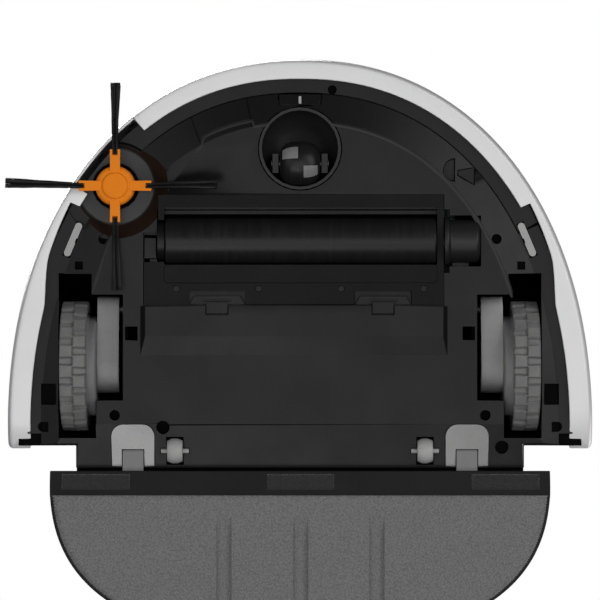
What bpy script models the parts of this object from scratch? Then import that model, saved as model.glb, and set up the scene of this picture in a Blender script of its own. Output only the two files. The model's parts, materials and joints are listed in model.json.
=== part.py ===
"""Robot vacuum cleaner with a rear mopping module, modelled as an assembly of separate pieces.

Every size below is in millimetres and becomes metres when a mesh is made. +Z is up, the robot drives
towards -Y, +X is on the right of someone who looks at its underside with the front at the top, and the
wheels stand on z = 0.
"""
import math

import bmesh
import bpy
from mathutils import Matrix, Vector

MM = 0.001
GAP = 0.3                   # clearance left between neighbouring pieces

# Plan outline: a superellipse round the front, straight ears, and a narrower rounded back.
HALF_WIDTH = 165.0
FRONT_DEPTH = 210.6         # centre of the front curve to the tip of the bumper
FRONT_CENTRE_Y = 45.6
FRONT_POWER = 2.18
FRONT_STEPS = 44
EAR_END_Y = 54.0
BACK_HALF_WIDTH = 126.0
BACK_CENTRE_Y = 66.0
BACK_Y = 165.0
BACK_POWER = 3.2
BACK_STEPS = 16

# Heights
FLAT_Z = 10.0               # flat underside
RIM_Z = 16.0                # underside of the front rim
SKIRT_Z = 18.3              # top of the front rim, where the base case widens
SPLIT_Z = 45.0              # base case meets top cover
CROWN_Z = 78.9              # lower edge of the top cover's crown
TOP_Z = 89.4
FLOOR = 2.5                 # wall thickness of the base case

# Insets from the outline, measured square to it
SEAM = 20.5                 # joint between base case and front rim
RIDGE = 37.3                # edge where the flat underside starts to rise
WALL = 8.0                  # inner case wall behind the bumper

# Turned-in lower lip of the bumper, which narrows beside the side brush and the charging contacts
LIP = 15.0
LIP_FRONT = 12.0
LIP_AT_CONTACTS = 9.0
LIP_AT_BRUSH = 4.9
LIP_Z = (13.3, 15.2)
BRUSH_CUTOUT_Y = (-141.0, -88.0)
CONTACT_POCKET_END_Y = -45.0

# Main roller and the frame that holds it in
ROLLER_Y = -61.8
ROLLER_Z = 16.0
ROLLER_R = 13.0
ROLLER_X = (-74.9, 75.6)
GUARD_X = (-86.8, 79.8)
GUARD_Y = (-87.4, -26.3)
GUARD_FRONT_X = -79.1       # the frame steps in here, clear of the side brush
GUARD_STEP_Y = -66.0
GUARD_Z = (9.4, 12.4)
WINDOW_X = (-75.6, 76.3)
WINDOW_Y = (-80.7, -48.6)
LATCH_X = 46.1

# Side brush
BRUSH_X = -102.8
BRUSH_Y = -92.5
BRUSH_REACH = 57.0
BRUSH_ARM_REACH = 20.2
BRUSH_ARM_Z = (8.6, 11.2)
# Each tuft's sections: distance from the brush's axis, half width, height above the floor, half thickness
TUFT_SECTIONS = ((20.5, 1.5, 9.6, 0.8), (24.0, 1.6, 7.9, 0.8), (32.0, 1.8, 4.6, 0.7),
                 (38.0, 1.9, 2.4, 0.6), (BRUSH_REACH, 2.3, 1.2, 0.5))

# Caster
CASTER_Y = -113.2
CASTER_WHEEL_R = 12.5
CASTER_TRAIL = 8.2

# Drive wheels and their arms
WHEEL_R = 36.5
WHEEL_Y = 8.2
WHEEL_X = (118.7, 133.5)    # tread, both sides
ARM_X = (100.4, 112.6)
PIVOT_Y = -24.0
PIVOT_Z = 34.0

# Rear rollers
REAR_ROLLER_X = 69.6
REAR_ROLLER_Y = 55.0
REAR_ROLLER_Z = 12.8
REAR_ROLLER_R = 7.0

# Mopping module and its bay
SLOPE_Y = (40.0, 64.5)      # the underside rises to the bay between these
BAY_Z = 24.0
MOP_HALF_WIDTH = 139.0
MOP_Y = (66.0, 160.0)
MOP_POWER = 2.6
MOP_Z = (4.2, 12.0)
CLOTH_Y = 79.3

# Dust bin
BIN_X = 61.5
BIN_Y = (8.8, 77.2)
BIN_Z = (28.0, 85.4)
LID_Z = (85.7, TOP_Z)

# Top panel
PANEL_X = 32.0
PANEL_Y = (-128.0, -100.0)
BUTTON_X = 15.0
BUTTON_R = 7.0
BUTTON_TOP_Z = 90.0
CAMERA_Y = -70.0
CAMERA_R = 9.0


# Materials ---------------------------------------------------------------------------------------------

def material(name, colour, roughness, metallic=0.0):
    surface = bpy.data.materials.new(name)
    surface.use_nodes = True
    shader = surface.node_tree.nodes["Principled BSDF"]
    shader.inputs["Base Color"].default_value = (*colour, 1.0)
    shader.inputs["Roughness"].default_value = roughness
    shader.inputs["Metallic"].default_value = metallic
    return surface


def make_materials():
    return {
        "white": material("white_shell", (0.80, 0.80, 0.80), 0.30),
        "black": material("black_case", (0.028, 0.028, 0.030), 0.50),
        "gloss": material("gloss_black", (0.012, 0.012, 0.014), 0.12),
        "grey": material("grey_plastic", (0.16, 0.16, 0.16), 0.50),
        "light": material("light_grey_plastic", (0.42, 0.42, 0.42), 0.45),
        "orange": material("orange_plastic", (0.62, 0.17, 0.015), 0.45),
        "rubber": material("black_rubber", (0.020, 0.020, 0.020), 0.60),
        "tread": material("tread_rubber", (0.10, 0.10, 0.10), 0.75),
        "steel": material("steel", (0.55, 0.55, 0.55), 0.30, 1.0),
        "board": material("circuit_board", (0.02, 0.14, 0.06), 0.50),
        "cloth": material("mop_cloth", (0.13, 0.13, 0.13), 0.95),
        "bristle": material("bristle", (0.012, 0.012, 0.012), 0.60),
        "smoke": material("smoke_plastic", (0.10, 0.10, 0.11), 0.15),
    }


# Mesh building -----------------------------------------------------------------------------------------

def solid(name, mesh, surface=None):
    """Turn a bmesh in millimetres into an object in metres, with its faces pointing out."""
    bmesh.ops.recalc_face_normals(mesh, faces=mesh.faces)
    bmesh.ops.scale(mesh, vec=(MM, MM, MM), verts=mesh.verts)
    data = bpy.data.meshes.new(name)
    mesh.to_mesh(data)
    mesh.free()
    if surface:
        data.materials.append(surface)
    thing = bpy.data.objects.new(name, data)
    bpy.context.collection.objects.link(thing)
    return thing


def loft(sections):
    """Skin through rings of points with equal counts; each section is a list of (x, y, z)."""
    mesh = bmesh.new()
    rings = [[mesh.verts.new(point) for point in section] for section in sections]
    count = len(rings[0])
    for lower, upper in zip(rings, rings[1:]):
        for i in range(count):
            j = (i + 1) % count
            mesh.faces.new((lower[i], lower[j], upper[j], upper[i]))
    mesh.faces.new(rings[0])
    mesh.faces.new(rings[-1])
    return mesh


def at(outline, height):
    """Lift a plan outline to a height, which may be a function of x and y."""
    if callable(height):
        return [(x, y, height(x, y)) for x, y in outline]
    return [(x, y, height) for x, y in outline]


def prism(outline, low, high):
    return loft([at(outline, low), at(outline, high)])


def rectangle(x, y, radius=0.0, steps=4):
    """Rectangle outline between two x and two y values, with rounded corners if a radius is given."""
    if not radius:
        return [(x[0], y[0]), (x[1], y[0]), (x[1], y[1]), (x[0], y[1])]
    centres = [(x[1] - radius, y[1] - radius), (x[0] + radius, y[1] - radius),
               (x[0] + radius, y[0] + radius), (x[1] - radius, y[0] + radius)]
    points = []
    for corner, (cx, cy) in enumerate(centres):
        for i in range(steps + 1):
            angle = math.pi / 2 * (corner + i / steps)
            points.append((cx + radius * math.cos(angle), cy + radius * math.sin(angle)))
    return points


def box(x, y, z, radius=0.0):
    return prism(rectangle(x, y, radius), z[0], z[1])


def turned(profile, centre, axis="Z", segments=32, ring=False):
    """Revolve (radius, along) pairs about an axis through centre; a ring's profile closes on itself.

    A zero radius at either end closes it, with a flat cap if the next pair lies at the same place.
    """
    mesh = bmesh.new()
    first_cap = not ring and profile[0][0] == 0.0 and profile[0][1] == profile[1][1]
    last_cap = not ring and profile[-1][0] == 0.0 and profile[-1][1] == profile[-2][1]
    profile = profile[1:] if first_cap else profile
    profile = profile[:-1] if last_cap else profile
    columns = []
    for i in range(segments):
        angle = 2 * math.pi * i / segments - math.pi / 2
        column = []
        for radius, along in profile:
            a = radius * math.cos(angle)
            b = radius * math.sin(angle)
            point = {"X": (along, a, b), "Y": (a, along, b), "Z": (a, b, along)}[axis]
            column.append(Vector(centre) + Vector(point))
        columns.append(column)
    poles = {}
    grid = []
    for column in columns:
        line = []
        for k, (radius, _) in enumerate(profile):
            if radius == 0.0:
                if k not in poles:
                    poles[k] = mesh.verts.new(column[k])
                line.append(poles[k])
            else:
                line.append(mesh.verts.new(column[k]))
        grid.append(line)
    spans = len(profile) if ring else len(profile) - 1
    for i in range(segments):
        here = grid[i]
        there = grid[(i + 1) % segments]
        for k in range(spans):
            n = (k + 1) % len(profile)
            corners = [here[k], there[k], there[n], here[n]]
            unique = list(dict.fromkeys(corners))
            if len(unique) > 2:
                mesh.faces.new(unique)
    if first_cap:
        mesh.faces.new([line[0] for line in grid])
    if last_cap:
        mesh.faces.new([line[-1] for line in grid])
    return mesh


def cylinder(centre, radius, along, axis="Z", segments=24):
    return turned([(0.0, along[0]), (radius, along[0]), (radius, along[1]), (0.0, along[1])],
                  centre, axis, segments)


def mirrored(outline, side):
    """Outline for the +X side, or its mirror image for the -X side."""
    if side > 0:
        return outline
    return [(-x, y) for x, y in reversed(outline)]


def side_range(pair, side):
    """A range of x given for the +X side, or its mirror image for the -X side."""
    return pair if side > 0 else (-pair[1], -pair[0])


def superellipse(angle, width, depth, power):
    c = math.cos(angle)
    s = math.sin(angle)
    x = math.copysign(width * abs(c) ** (2 / power), c)
    y = math.copysign(depth * abs(s) ** (2 / power), s)
    return x, y


# Booleans ----------------------------------------------------------------------------------------------

def boolean(target, tool, operation):
    modifier = target.modifiers.new(operation, "BOOLEAN")
    modifier.operation = operation
    modifier.object = tool
    view = bpy.context.evaluated_depsgraph_get()
    data = bpy.data.meshes.new_from_object(target.evaluated_get(view))
    target.modifiers.clear()
    target.data = data


def combine(target, meshes, operation):
    for mesh in meshes:
        tool = solid("tool", mesh)
        boolean(target, tool, operation)
        bpy.data.objects.remove(tool)
    return target


def cut(target, *meshes):
    return combine(target, meshes, "DIFFERENCE")


def join(target, *meshes):
    return combine(target, meshes, "UNION")


def smooth(thing, angle=35.0):
    thing.data.shade_smooth()
    thing.data.set_sharp_from_angle(angle=math.radians(angle))
    return thing


def pivot_at(thing, point):
    """Put an object's origin at a point, such as one on its joint's axis, without moving its mesh."""
    place = Vector(point) * MM
    thing.data.transform(Matrix.Translation(-place))
    thing.location = place
    return thing


# Plan outlines of the robot ----------------------------------------------------------------------------

def front_point(turn, inset):
    """Point on the front curve, from the left ear (0) round the bumper to the right ear (1)."""
    x, y = superellipse(math.pi * (1 + turn), HALF_WIDTH, FRONT_DEPTH, FRONT_POWER)
    nx = math.copysign(abs(x / HALF_WIDTH) ** (FRONT_POWER - 1) / HALF_WIDTH, x)
    ny = math.copysign(abs(y / FRONT_DEPTH) ** (FRONT_POWER - 1) / FRONT_DEPTH, y)
    length = math.hypot(nx, ny)
    return x - inset * nx / length, FRONT_CENTRE_Y + y - inset * ny / length


def front_curve(inset, start=0.0, end=1.0, steps=FRONT_STEPS):
    return [front_point(start + (end - start) * i / steps, inset) for i in range(steps + 1)]


def back_curve(inset):
    points = []
    for i in range(BACK_STEPS + 1):
        x, y = superellipse(math.pi * i / BACK_STEPS, BACK_HALF_WIDTH - inset,
                            BACK_Y - inset - BACK_CENTRE_Y, BACK_POWER)
        points.append((x, BACK_CENTRE_Y + abs(y)))
    return points


def body_outline(front, back, ear):
    """Whole plan outline, with separate insets for the front curve, the back curve and the ears' ends."""
    ear_y = EAR_END_Y - ear
    right = [(HALF_WIDTH - front, ear_y), (BACK_HALF_WIDTH - back, ear_y)]
    left = [(-x, y) for x, y in reversed(right)]
    return front_curve(front) + right + back_curve(back) + left


def wedge_height(inset):
    """Height of the underside between the ridge and the seam."""
    share = (RIDGE - inset) / (RIDGE - SEAM)
    return FLAT_Z + (RIM_Z - FLAT_Z) * min(max(share, 0.0), 1.0)


def slope_height(_, y):
    """Height of the rising underside in front of the mop bay."""
    share = (y - SLOPE_Y[0]) / (SLOPE_Y[1] - SLOPE_Y[0])
    return FLAT_Z + (RIM_Z - FLAT_Z) * share


def mop_outline(inset, start_y):
    """Outline of the mopping module, cut straight across at start_y."""
    depth = MOP_Y[1] - MOP_Y[0]
    points = [(MOP_HALF_WIDTH - inset, start_y)]
    for i in range(33):
        x, y = superellipse(math.pi * i / 32, MOP_HALF_WIDTH - inset, depth - inset, MOP_POWER)
        if MOP_Y[0] + abs(y) > start_y + 1.0:
            points.append((x, MOP_Y[0] + abs(y)))
    points.append((-MOP_HALF_WIDTH + inset, start_y))
    return points


# Base case ---------------------------------------------------------------------------------------------

def wheel_well(side, low, high):
    """Stepped opening that the drive wheel and its arm sit in."""
    outline = [(98.4, -32.1), (115.8, -32.1), (115.8, -43.6), (134.4, -43.6),
               (134.4, 47.9), (113.4, 47.9), (113.4, 26.9), (98.4, 26.9)]
    return prism(mirrored(outline, side), low, high)


def brush_pocket(extra=0.0):
    """Conical pocket round the side brush."""
    profile = [(0.0, 2.0), (29.5 + extra, 2.0), (29.5 + extra, FLAT_Z), (21.0, 21.0), (0.0, 21.0)]
    return turned(profile, (BRUSH_X, BRUSH_Y, 0), "Z", 36)


def contact_outline(side, extra=0.0):
    """Slanted bar that mates with the charging dock."""
    half_length = 10.0 + extra
    half_width = 1.95 + extra
    lean = Vector((0.39, 0.92)).normalized()
    across = Vector((lean.y, -lean.x))
    centre = Vector((126.5, -62.7))
    corners = [(-1, -1), (1, -1), (1, 1), (-1, 1)]
    points = [centre + lean * half_length * a + across * half_width * b for a, b in corners]
    return mirrored([(p.x, p.y) for p in reversed(points)], side)


def latch_plate_outline(side, extra=0.0, notched=True):
    """Plate with rounded front corners and, if notched, room at its rear edge for the module's hook."""
    inner = 81.0 - extra
    outer = 105.0 + extra
    front = SLOPE_Y[0] + 0.2 - extra
    radius = 6.5
    points = []
    for cx, first in ((inner + radius, math.pi), (outer - radius, 1.5 * math.pi)):
        for i in range(6):
            angle = first + math.pi / 2 * i / 5
            points.append((cx + radius * math.cos(angle), front + radius + radius * math.sin(angle)))
    back = 63.8 + extra
    points.append((outer, back))
    if notched:
        points += [(99.3, back), (99.3, 54.0), (86.6, 54.0), (86.6, back)]
    points.append((inner, back))
    return mirrored(points, side)


def cliff_window_outlines():
    """Half disc and funnel of the downward sensor's two windows."""
    half_disc = []
    for i in range(9):
        angle = math.pi / 2 + math.pi * i / 8
        half_disc.append((86.2 + 6.7 * math.cos(angle), -101.3 + 6.7 * math.sin(angle)))
    funnel = [(87.4, -101.4), (97.4, -103.0), (97.4, -92.6), (87.4, -98.4)]
    return half_disc, funnel


def case_interior():
    """Tool that hollows the base case from above, leaving its floor, its walls and the kept blocks."""
    high = SPLIT_Z + 15.0
    case_wall = WALL + FLOOR
    back_wall = BACK_HALF_WIDTH - 3.6
    ear_y = EAR_END_Y - 4.6
    wide = front_curve(case_wall) + [(HALF_WIDTH - case_wall, ear_y), (back_wall, ear_y),
                                     (back_wall, 62.0), (-back_wall, 62.0),
                                     (-back_wall, ear_y), (case_wall - HALF_WIDTH, ear_y)]
    deep = [point for point in front_curve(39.5) if point[1] < 36.0]
    deep += [(deep[-1][0], 37.3), (deep[0][0], 37.3)]
    rear = [(back_wall, 58.0)] + back_curve(3.6) + [(-back_wall, 58.0)]
    hollow = solid("hollow", prism(wide, SKIRT_Z + 2.3, high))
    join(hollow, prism(deep, FLAT_Z + FLOOR, high - 1.0), prism(rear, BAY_Z + FLOOR, high - 2.0))
    return cut(hollow, *kept_blocks())


def kept_blocks():
    """Meshes of the solid regions that stay standing round the wells when the case is hollowed."""
    top = SPLIT_Z + 16.0
    blocks = [
        turned([(0.0, 0.0), (26.0, 0.0), (26.0, 33.8), (0.0, 33.8)], (0, CASTER_Y, 0), "Z", 24),
        turned([(0.0, 0.0), (31.5, 0.0), (31.5, 12.0), (23.6, 22.0), (23.6, 23.6), (0.0, 23.6)],
               (BRUSH_X, BRUSH_Y, 0), "Z", 28),
        box((-90.0, 103.2), (-90.0, -22.0), (0.0, 15.3)),
    ]
    for side in (-1, 1):
        blocks.append(box(side_range((95.8, 137.2), side), (-46.2, 50.4), (0.0, top)))
        blocks.append(box(side_range((59.0, 80.0), side), (44.0, 66.0), (0.0, 23.2)))
    return blocks


def plain_holes():
    """Screw and alignment holes in the underside, (x, y, half width, half length) or radius if round."""
    round_holes = [(18.0, -146.2, 2.6), (109.4, -62.9, 2.9), (-109.4, -62.9, 2.9), (103.0, 35.1, 3.0),
                   (-103.0, 35.1, 3.0), (-76.2, 41.8, 3.8), (112.3, 53.0, 3.8)]
    square_holes = [(123.2, -48.2, 2.3, 2.3), (93.8, -10.5, 3.5, 3.8),
                    (140.2, 23.5, 4.2, 5.9), (143.0, 41.7, 2.8, 2.8)]
    low = 2.0
    high = 17.6
    meshes = [cylinder((x, y, 0), r, (low, high), "Z", 14) for x, y, r in round_holes]
    for side in (-1, 1):
        for x, y, half_x, half_y in square_holes:
            across = (side * x - half_x, side * x + half_x)
            meshes.append(box(across, (y - half_y, y + half_y), (low, high)))
    return meshes


def hump():
    """Raised dust channel behind the roller, with chamfered ends and a long rear slope."""
    low = rectangle((-86.0, 79.5), (-25.6, -9.0))
    high = rectangle((-89.2, 82.4), (-25.6, 3.2))
    return loft([at(low, 7.0), at(high, FLAT_Z + 0.4)])


def base_cover(paint):
    sections = [at(body_outline(RIDGE, 3.0, 4.0), FLAT_Z), at(body_outline(SEAM, 1.6, 2.2), RIM_Z),
                at(body_outline(SEAM, 1.4, 2.0), SKIRT_Z), at(body_outline(WALL, 1.0, 1.8), SKIRT_Z),
                at(body_outline(WALL, 0.8, 1.8), SPLIT_Z)]
    base = solid("base_cover", loft(sections), paint)
    hollow = case_interior()
    boolean(base, hollow, "DIFFERENCE")
    bpy.data.objects.remove(hollow)
    join(base, hump())

    under = [(SLOPE_Y[0], 2.0), (SLOPE_Y[0], FLAT_Z), (SLOPE_Y[1], RIM_Z), (SLOPE_Y[1], BAY_Z),
             (190.0, BAY_Z), (190.0, 2.0)]
    cut(base, loft([[(x, y, z) for y, z in under] for x in (-200.0, 200.0)]))
    cut(base, turned([(0.0, 2.0), (23.5, 2.0), (23.5, 31.6), (0.0, 31.6)], (0, CASTER_Y, 0), "Z", 36),
        cylinder((0, CASTER_Y, 0), 4.4, (25.0, 40.0), "Z", 16),
        brush_pocket(), cylinder((BRUSH_X, BRUSH_Y, 0), 5.0, (15.0, 30.0), "Z", 20))
    recess_z = (2.0, GUARD_Z[1] + GAP)
    cut(base, box((GUARD_FRONT_X - 0.4, GUARD_X[1] + 0.4), (GUARD_Y[0] - 0.4, GUARD_Y[1] + 0.4), recess_z),
        box((GUARD_X[0] - 0.4, GUARD_FRONT_X + 1.0), (GUARD_STEP_Y - 0.4, GUARD_Y[1] + 0.5), recess_z),
        box((-79.6, 83.2), (-79.5, -44.0), (2.0, 25.0)),
        box((79.0, 100.7), (-76.0, -47.6), (2.0, 25.0)),
        box((-87.0, -79.0), (-65.3, -51.6), (2.0, 20.0)))
    cut(base, *plain_holes())
    cut(base, *(prism(outline, 2.0, 17.0) for outline in cliff_window_outlines()),
        box((84.0, 90.0), (-101.4, -98.8), (14.9, 16.9)))
    cut(base, box((-12.4, 12.4), (-144.0, -137.3), (2.0, 17.8)))
    for side in (-1, 1):
        cut(base, wheel_well(side, 2.0, SPLIT_Z + 8.0),
            cylinder((0, PIVOT_Y, PIVOT_Z), 2.8, side_range((90.0, 105.0), side), "X", 20),
            prism(contact_outline(side, GAP), 10.0, 20.0),
            prism(latch_plate_outline(side, GAP, False), 2.0, lambda x, y: slope_height(x, y) + 1.8),
            box(side_range((86.9, 99.0), side), (53.6, 66.0), (2.0, 17.2)),
            box((side * LATCH_X - 6.4, side * LATCH_X + 6.4), (-28.0, -20.6), (2.0, 9.6)))
        x = side * REAR_ROLLER_X
        y = REAR_ROLLER_Y
        cut(base, box((x - 4.9, x + 4.9), (y - 7.9, y + 7.9), (2.0, 20.6)),
            box((x - 8.1, x + 8.1), (y - 1.7, y + 1.7), (2.0, 14.5)))
    return base


def front_rim(paint):
    """Crescent that closes the base case's front edge, from the brush pocket to the right contact."""
    start = 0.25
    end = 0.815
    outer = front_curve(WALL + 0.2, start, end, 38)
    inner = front_curve(SEAM - GAP, start, end, 38)
    rim = solid("front_rim", prism(outer + inner[::-1], RIM_Z, SKIRT_Z - GAP), paint)
    return cut(rim, brush_pocket(GAP), cylinder((18.0, -146.2, 0), 2.6, (2.0, 30.0), "Z", 14),
               prism(contact_outline(1, GAP), 10.0, 24.0))


def charge_contact(side, name, paint):
    return solid(name, prism(contact_outline(side), 15.0, 19.6), paint)


def front_sensor(paint):
    """Sloping window just behind the front seam."""
    outline = [(-12.0, -143.7), (12.0, -143.7), (10.8, -137.7), (-10.8, -137.7)]
    surface = lambda x, y: wedge_height(y + HALF_WIDTH) - 0.1
    return solid("front_sensor", prism(outline, surface, 17.4), paint)


def cliff_sensor(paint):
    """Sensor body at the bottom of its two windows."""
    half_disc, funnel = cliff_window_outlines()
    def shrink(outline):
        cx = sum(x for x, _ in outline) / len(outline)
        cy = sum(y for _, y in outline) / len(outline)
        return [(cx + (x - cx) * 0.88, cy + (y - cy) * 0.88) for x, y in outline]
    sensor = solid("cliff_sensor", prism(shrink(half_disc), 14.6, 16.7), paint)
    join(sensor, prism(shrink(funnel), 14.6, 16.7), box((84.5, 89.5), (-101.1, -99.1), (15.2, 16.6)))
    return sensor


def latch_plate(side, name, paint):
    low = lambda x, y: slope_height(x, y) - 0.25
    high = lambda x, y: slope_height(x, y) + 1.4
    return solid(name, prism(latch_plate_outline(side), low, high), paint)


# Top side ----------------------------------------------------------------------------------------------

def top_cover(paint):
    crown = [(2.4, 0.2, 0.2, CROWN_Z), (2.6, 0.4, 0.4, 80.6), (3.6, 1.4, 1.4, 84.0),
             (5.8, 3.6, 3.2, 87.0), (9.5, 7.3, 5.6, 88.7), (15.0, 12.8, 7.9, TOP_Z)]
    sections = [at(body_outline(WALL, 0.6, 1.8), SPLIT_Z + 0.4), at(body_outline(WALL, 0.6, 1.8), CROWN_Z)]
    sections += [at(body_outline(front, back, ear), z) for front, back, ear, z in crown]
    cover = solid("top_cover", loft(sections), paint)
    bin_rim = 2.0
    through = (80.0, 95.0)
    cut(cover, prism(body_outline(WALL + 2.4, 3.2, 4.4), SPLIT_Z - 5.0, TOP_Z - 2.6),
        box((-BIN_X - bin_rim, BIN_X + bin_rim), (BIN_Y[0] - bin_rim, BIN_Y[1] + bin_rim), through, 6.0),
        box((-PANEL_X - GAP, PANEL_X + GAP), (PANEL_Y[0] - GAP, PANEL_Y[1] + GAP), through, 13.0),
        cylinder((0, CAMERA_Y, 0), CAMERA_R + GAP, through, "Z", 40))
    return smooth(cover, 25.0)


def control_panel(paint):
    panel = solid("control_panel", box((-PANEL_X, PANEL_X), PANEL_Y, (86.0, TOP_Z - 0.1), 12.8), paint)
    for side in (-1, 1):
        cut(panel, cylinder((side * BUTTON_X, sum(PANEL_Y) / 2, 0), BUTTON_R + GAP, (80.0, 95.0), "Z", 24))
    return panel


def button(side, name, paint):
    centre = (side * BUTTON_X, sum(PANEL_Y) / 2, 0)
    profile = [(0.0, 85.0), (BUTTON_R, 85.0), (BUTTON_R, BUTTON_TOP_Z - 0.5),
               (BUTTON_R - 0.5, BUTTON_TOP_Z), (0.0, BUTTON_TOP_Z)]
    return pivot_at(solid(name, turned(profile, centre, "Z", 24), paint), centre)


# Bumper ------------------------------------------------------------------------------------------------

def lip_width(turn):
    """Width of the bumper's turned-in lower lip at a place along the front curve."""
    x, y = front_point(turn, 0.0)
    if x < 0 and BRUSH_CUTOUT_Y[0] < y < BRUSH_CUTOUT_Y[1]:
        return LIP_AT_BRUSH
    if y < BRUSH_CUTOUT_Y[1]:
        return LIP_FRONT
    if y < CONTACT_POCKET_END_Y:
        return LIP_AT_CONTACTS
    return LIP


def bumper_shell(paint):
    """White wall with a turned-in lip, swept along the front curve."""
    def section(turn, y=None):
        lip = lip_width(turn)
        profile = [(lip, LIP_Z[0]), (4.5, 13.2), (2.6, 14.6), (0.9, 19.0), (0.15, 30.0),
                   (0.0, 42.0), (0.4, 60.0), (2.3, 78.2), (4.7, 78.2), (2.9, 60.0),
                   (2.6, 40.0), (4.2, 18.5), (4.55, 15.3), (lip, LIP_Z[1])]
        ring = []
        for inset, z in profile:
            px, py = front_point(turn, inset)
            ring.append((px, py if y is None else y, z))
        return ring
    turns = [i / 44 for i in range(45)]
    steps = list(turns)
    for a, b in zip(turns, turns[1:]):
        if lip_width(a) != lip_width(b):
            low, high = a, b
            for _ in range(12):
                middle = (low + high) / 2
                if lip_width(middle) == lip_width(a):
                    low = middle
                else:
                    high = middle
            steps += [low, high + 0.001]
    steps = sorted(set(steps))
    rings = [section(0.0, EAR_END_Y)] + [section(turn) for turn in steps] + [section(1.0, EAR_END_Y)]
    return pivot_at(smooth(solid("bumper_shell", loft(rings), paint), 30.0), (0, 0, 0))


# Roller and its housing --------------------------------------------------------------------------------

def roller_housing(paint):
    """Arched tunnel over the roller with a duct that leads back to the dust bin."""
    centre = (0, ROLLER_Y, ROLLER_Z)
    span = (-79.2, 79.9)
    shell = solid("roller_housing", box(span, (-79.2, -44.4), (15.8, 33.0)), paint)
    duct_x = 40.0
    join(shell, box((-duct_x, duct_x), (-46.0, BIN_Y[0] - GAP), (15.8, 33.0)))
    cut(shell, cylinder(centre, 15.0, (-90.0, 90.0), "X", 48),
        box((-90.0, 90.0), (ROLLER_Y - 15.0, ROLLER_Y + 15.0), (10.0, ROLLER_Z)),
        box((-duct_x + 2, duct_x - 2), (ROLLER_Y, BIN_Y[0] + 5.0), (18.0, 31.0)))
    return shell


def roller_sleeve(paint):
    profile = [(9.2, ROLLER_X[0]), (12.4, ROLLER_X[0]), (ROLLER_R, ROLLER_X[0] + 0.6),
               (ROLLER_R, ROLLER_X[1] - 0.6), (12.4, ROLLER_X[1]), (9.2, ROLLER_X[1])]
    centre = (0, ROLLER_Y, ROLLER_Z)
    return pivot_at(smooth(solid("roller_sleeve", turned(profile, centre, "X", 32, True), paint)), centre)


def roller_core(paint):
    """Spindle with an end flange on the left and a drive stub on the right."""
    left = ROLLER_X[0]
    right = ROLLER_X[1]
    profile = [(0.0, -83.0), (2.8, -83.0), (2.8, -79.2), (11.0, -79.2), (11.0, left - GAP),
               (8.9, left - GAP), (8.9, right + GAP), (5.0, right + GAP), (5.0, 82.3), (4.0, 82.3),
               (4.0, 88.0), (0.0, 88.0)]
    centre = (0, ROLLER_Y, ROLLER_Z)
    return pivot_at(smooth(solid("roller_core", turned(profile, centre, "X", 20), paint)), centre)


def roller_bearing(paint):
    """End plate that carries the roller's left stub."""
    plate = solid("roller_bearing", box((-86.4, -79.6), (-64.6, -46.0), (16.0, 33.0)), paint)
    join(plate, box((-86.4, -79.8), (-63.6, -52.0), (9.9, 17.0)))
    return cut(plate, cylinder((0, ROLLER_Y, ROLLER_Z), 3.1, (-83.5, -75.0), "X", 24))


def gear_housing(paint):
    """Round gear case at the roller's driven end, with the leg that reaches back to the motor."""
    centre = (0, ROLLER_Y, ROLLER_Z)
    profile = [(0.0, 80.4), (13.6, 80.4), (13.6, 82.8), (12.0, 83.4), (12.0, 98.6), (10.6, 100.0),
               (0.0, 100.0)]
    case = solid("roller_gear_housing", turned(profile, centre, "X", 24), paint)
    join(case, box((84.6, 94.6), (-66.0, -24.0), (20.0, 42.0)))
    cut(case, cylinder(centre, 5.4, (70.0, 83.0), "X", 24), cylinder(centre, 4.4, (80.0, 89.0), "X", 24))
    return case


def roller_motor(paint):
    return smooth(solid("roller_motor", cylinder((0, -31.5, 31.0), 11.5, (44.0, 84.2), "X", 24), paint))


def roller_guard(paint):
    """Frame that holds the roller in, open at its left end where the bearing sits."""
    guard = solid("roller_guard", box(GUARD_X, GUARD_Y, GUARD_Z, 1.0), paint)
    cut(guard, box(WINDOW_X, WINDOW_Y, (2.0, 20.0), 1.0),
        box((-95.0, -75.0), (-73.4, -50.2), (2.0, 20.0)),
        box((-95.0, GUARD_FRONT_X), (-95.0, GUARD_STEP_Y), (1.0, 21.0)),
        box((75.8, 85.0), (-68.4, -55.2), (10.6, 20.0)),
        box((WINDOW_X[0], WINDOW_X[1]), (-48.9, -38.4), (2.0, 10.8), 2.0))
    for side in (-1, 1):
        cut(guard, box((side * LATCH_X - 15.8, side * LATCH_X + 15.8), (-34.0, -20.0), (2.0, 20.0)),
            *(cylinder((side * x, -35.4, 0), 1.9, (2.0, 11.0), "Z", 16) for x in (68.8, 22.9)))
    return pivot_at(guard, (0, 0, 0))


def scraper_blade(paint):
    """Bar along the rear edge of the frame's window."""
    blade = box((WINDOW_X[0] + 0.3, WINDOW_X[1] - 0.3), (-48.6, -38.7), (8.7, 10.5), 1.9)
    return solid("scraper_blade", blade, paint)


def guard_latch(side, name, paint):
    """Sliding latch whose finger tab reaches into the hump."""
    centre = side * LATCH_X
    half = [(12.9, -31.2), (15.4, -26.4), (6.0, -26.4), (6.0, -21.4)]
    outline = [(centre + x, y) for x, y in half] + [(centre - x, y) for x, y in reversed(half)]
    latch = solid(name, prism(outline, 9.75, 11.6), paint)
    cut(latch, box((centre - 8.0, centre + 8.0), (-29.6, -28.2), (2.0, 10.6)))
    cut(latch, box((centre - 8.0, centre + 8.0), (-27.0, -15.0), (9.0 + 0.3, 20.0)))
    join(latch, box((centre - 6.0, centre + 6.0), (-28.0, -21.4), (8.2, 9.3)),
         box((centre - 6.0, centre + 6.0), (-28.0, -27.2), (8.4, 11.0)))
    return pivot_at(latch, (centre, -28.0, 10.0))


# Side brush --------------------------------------------------------------------------------------------

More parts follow.
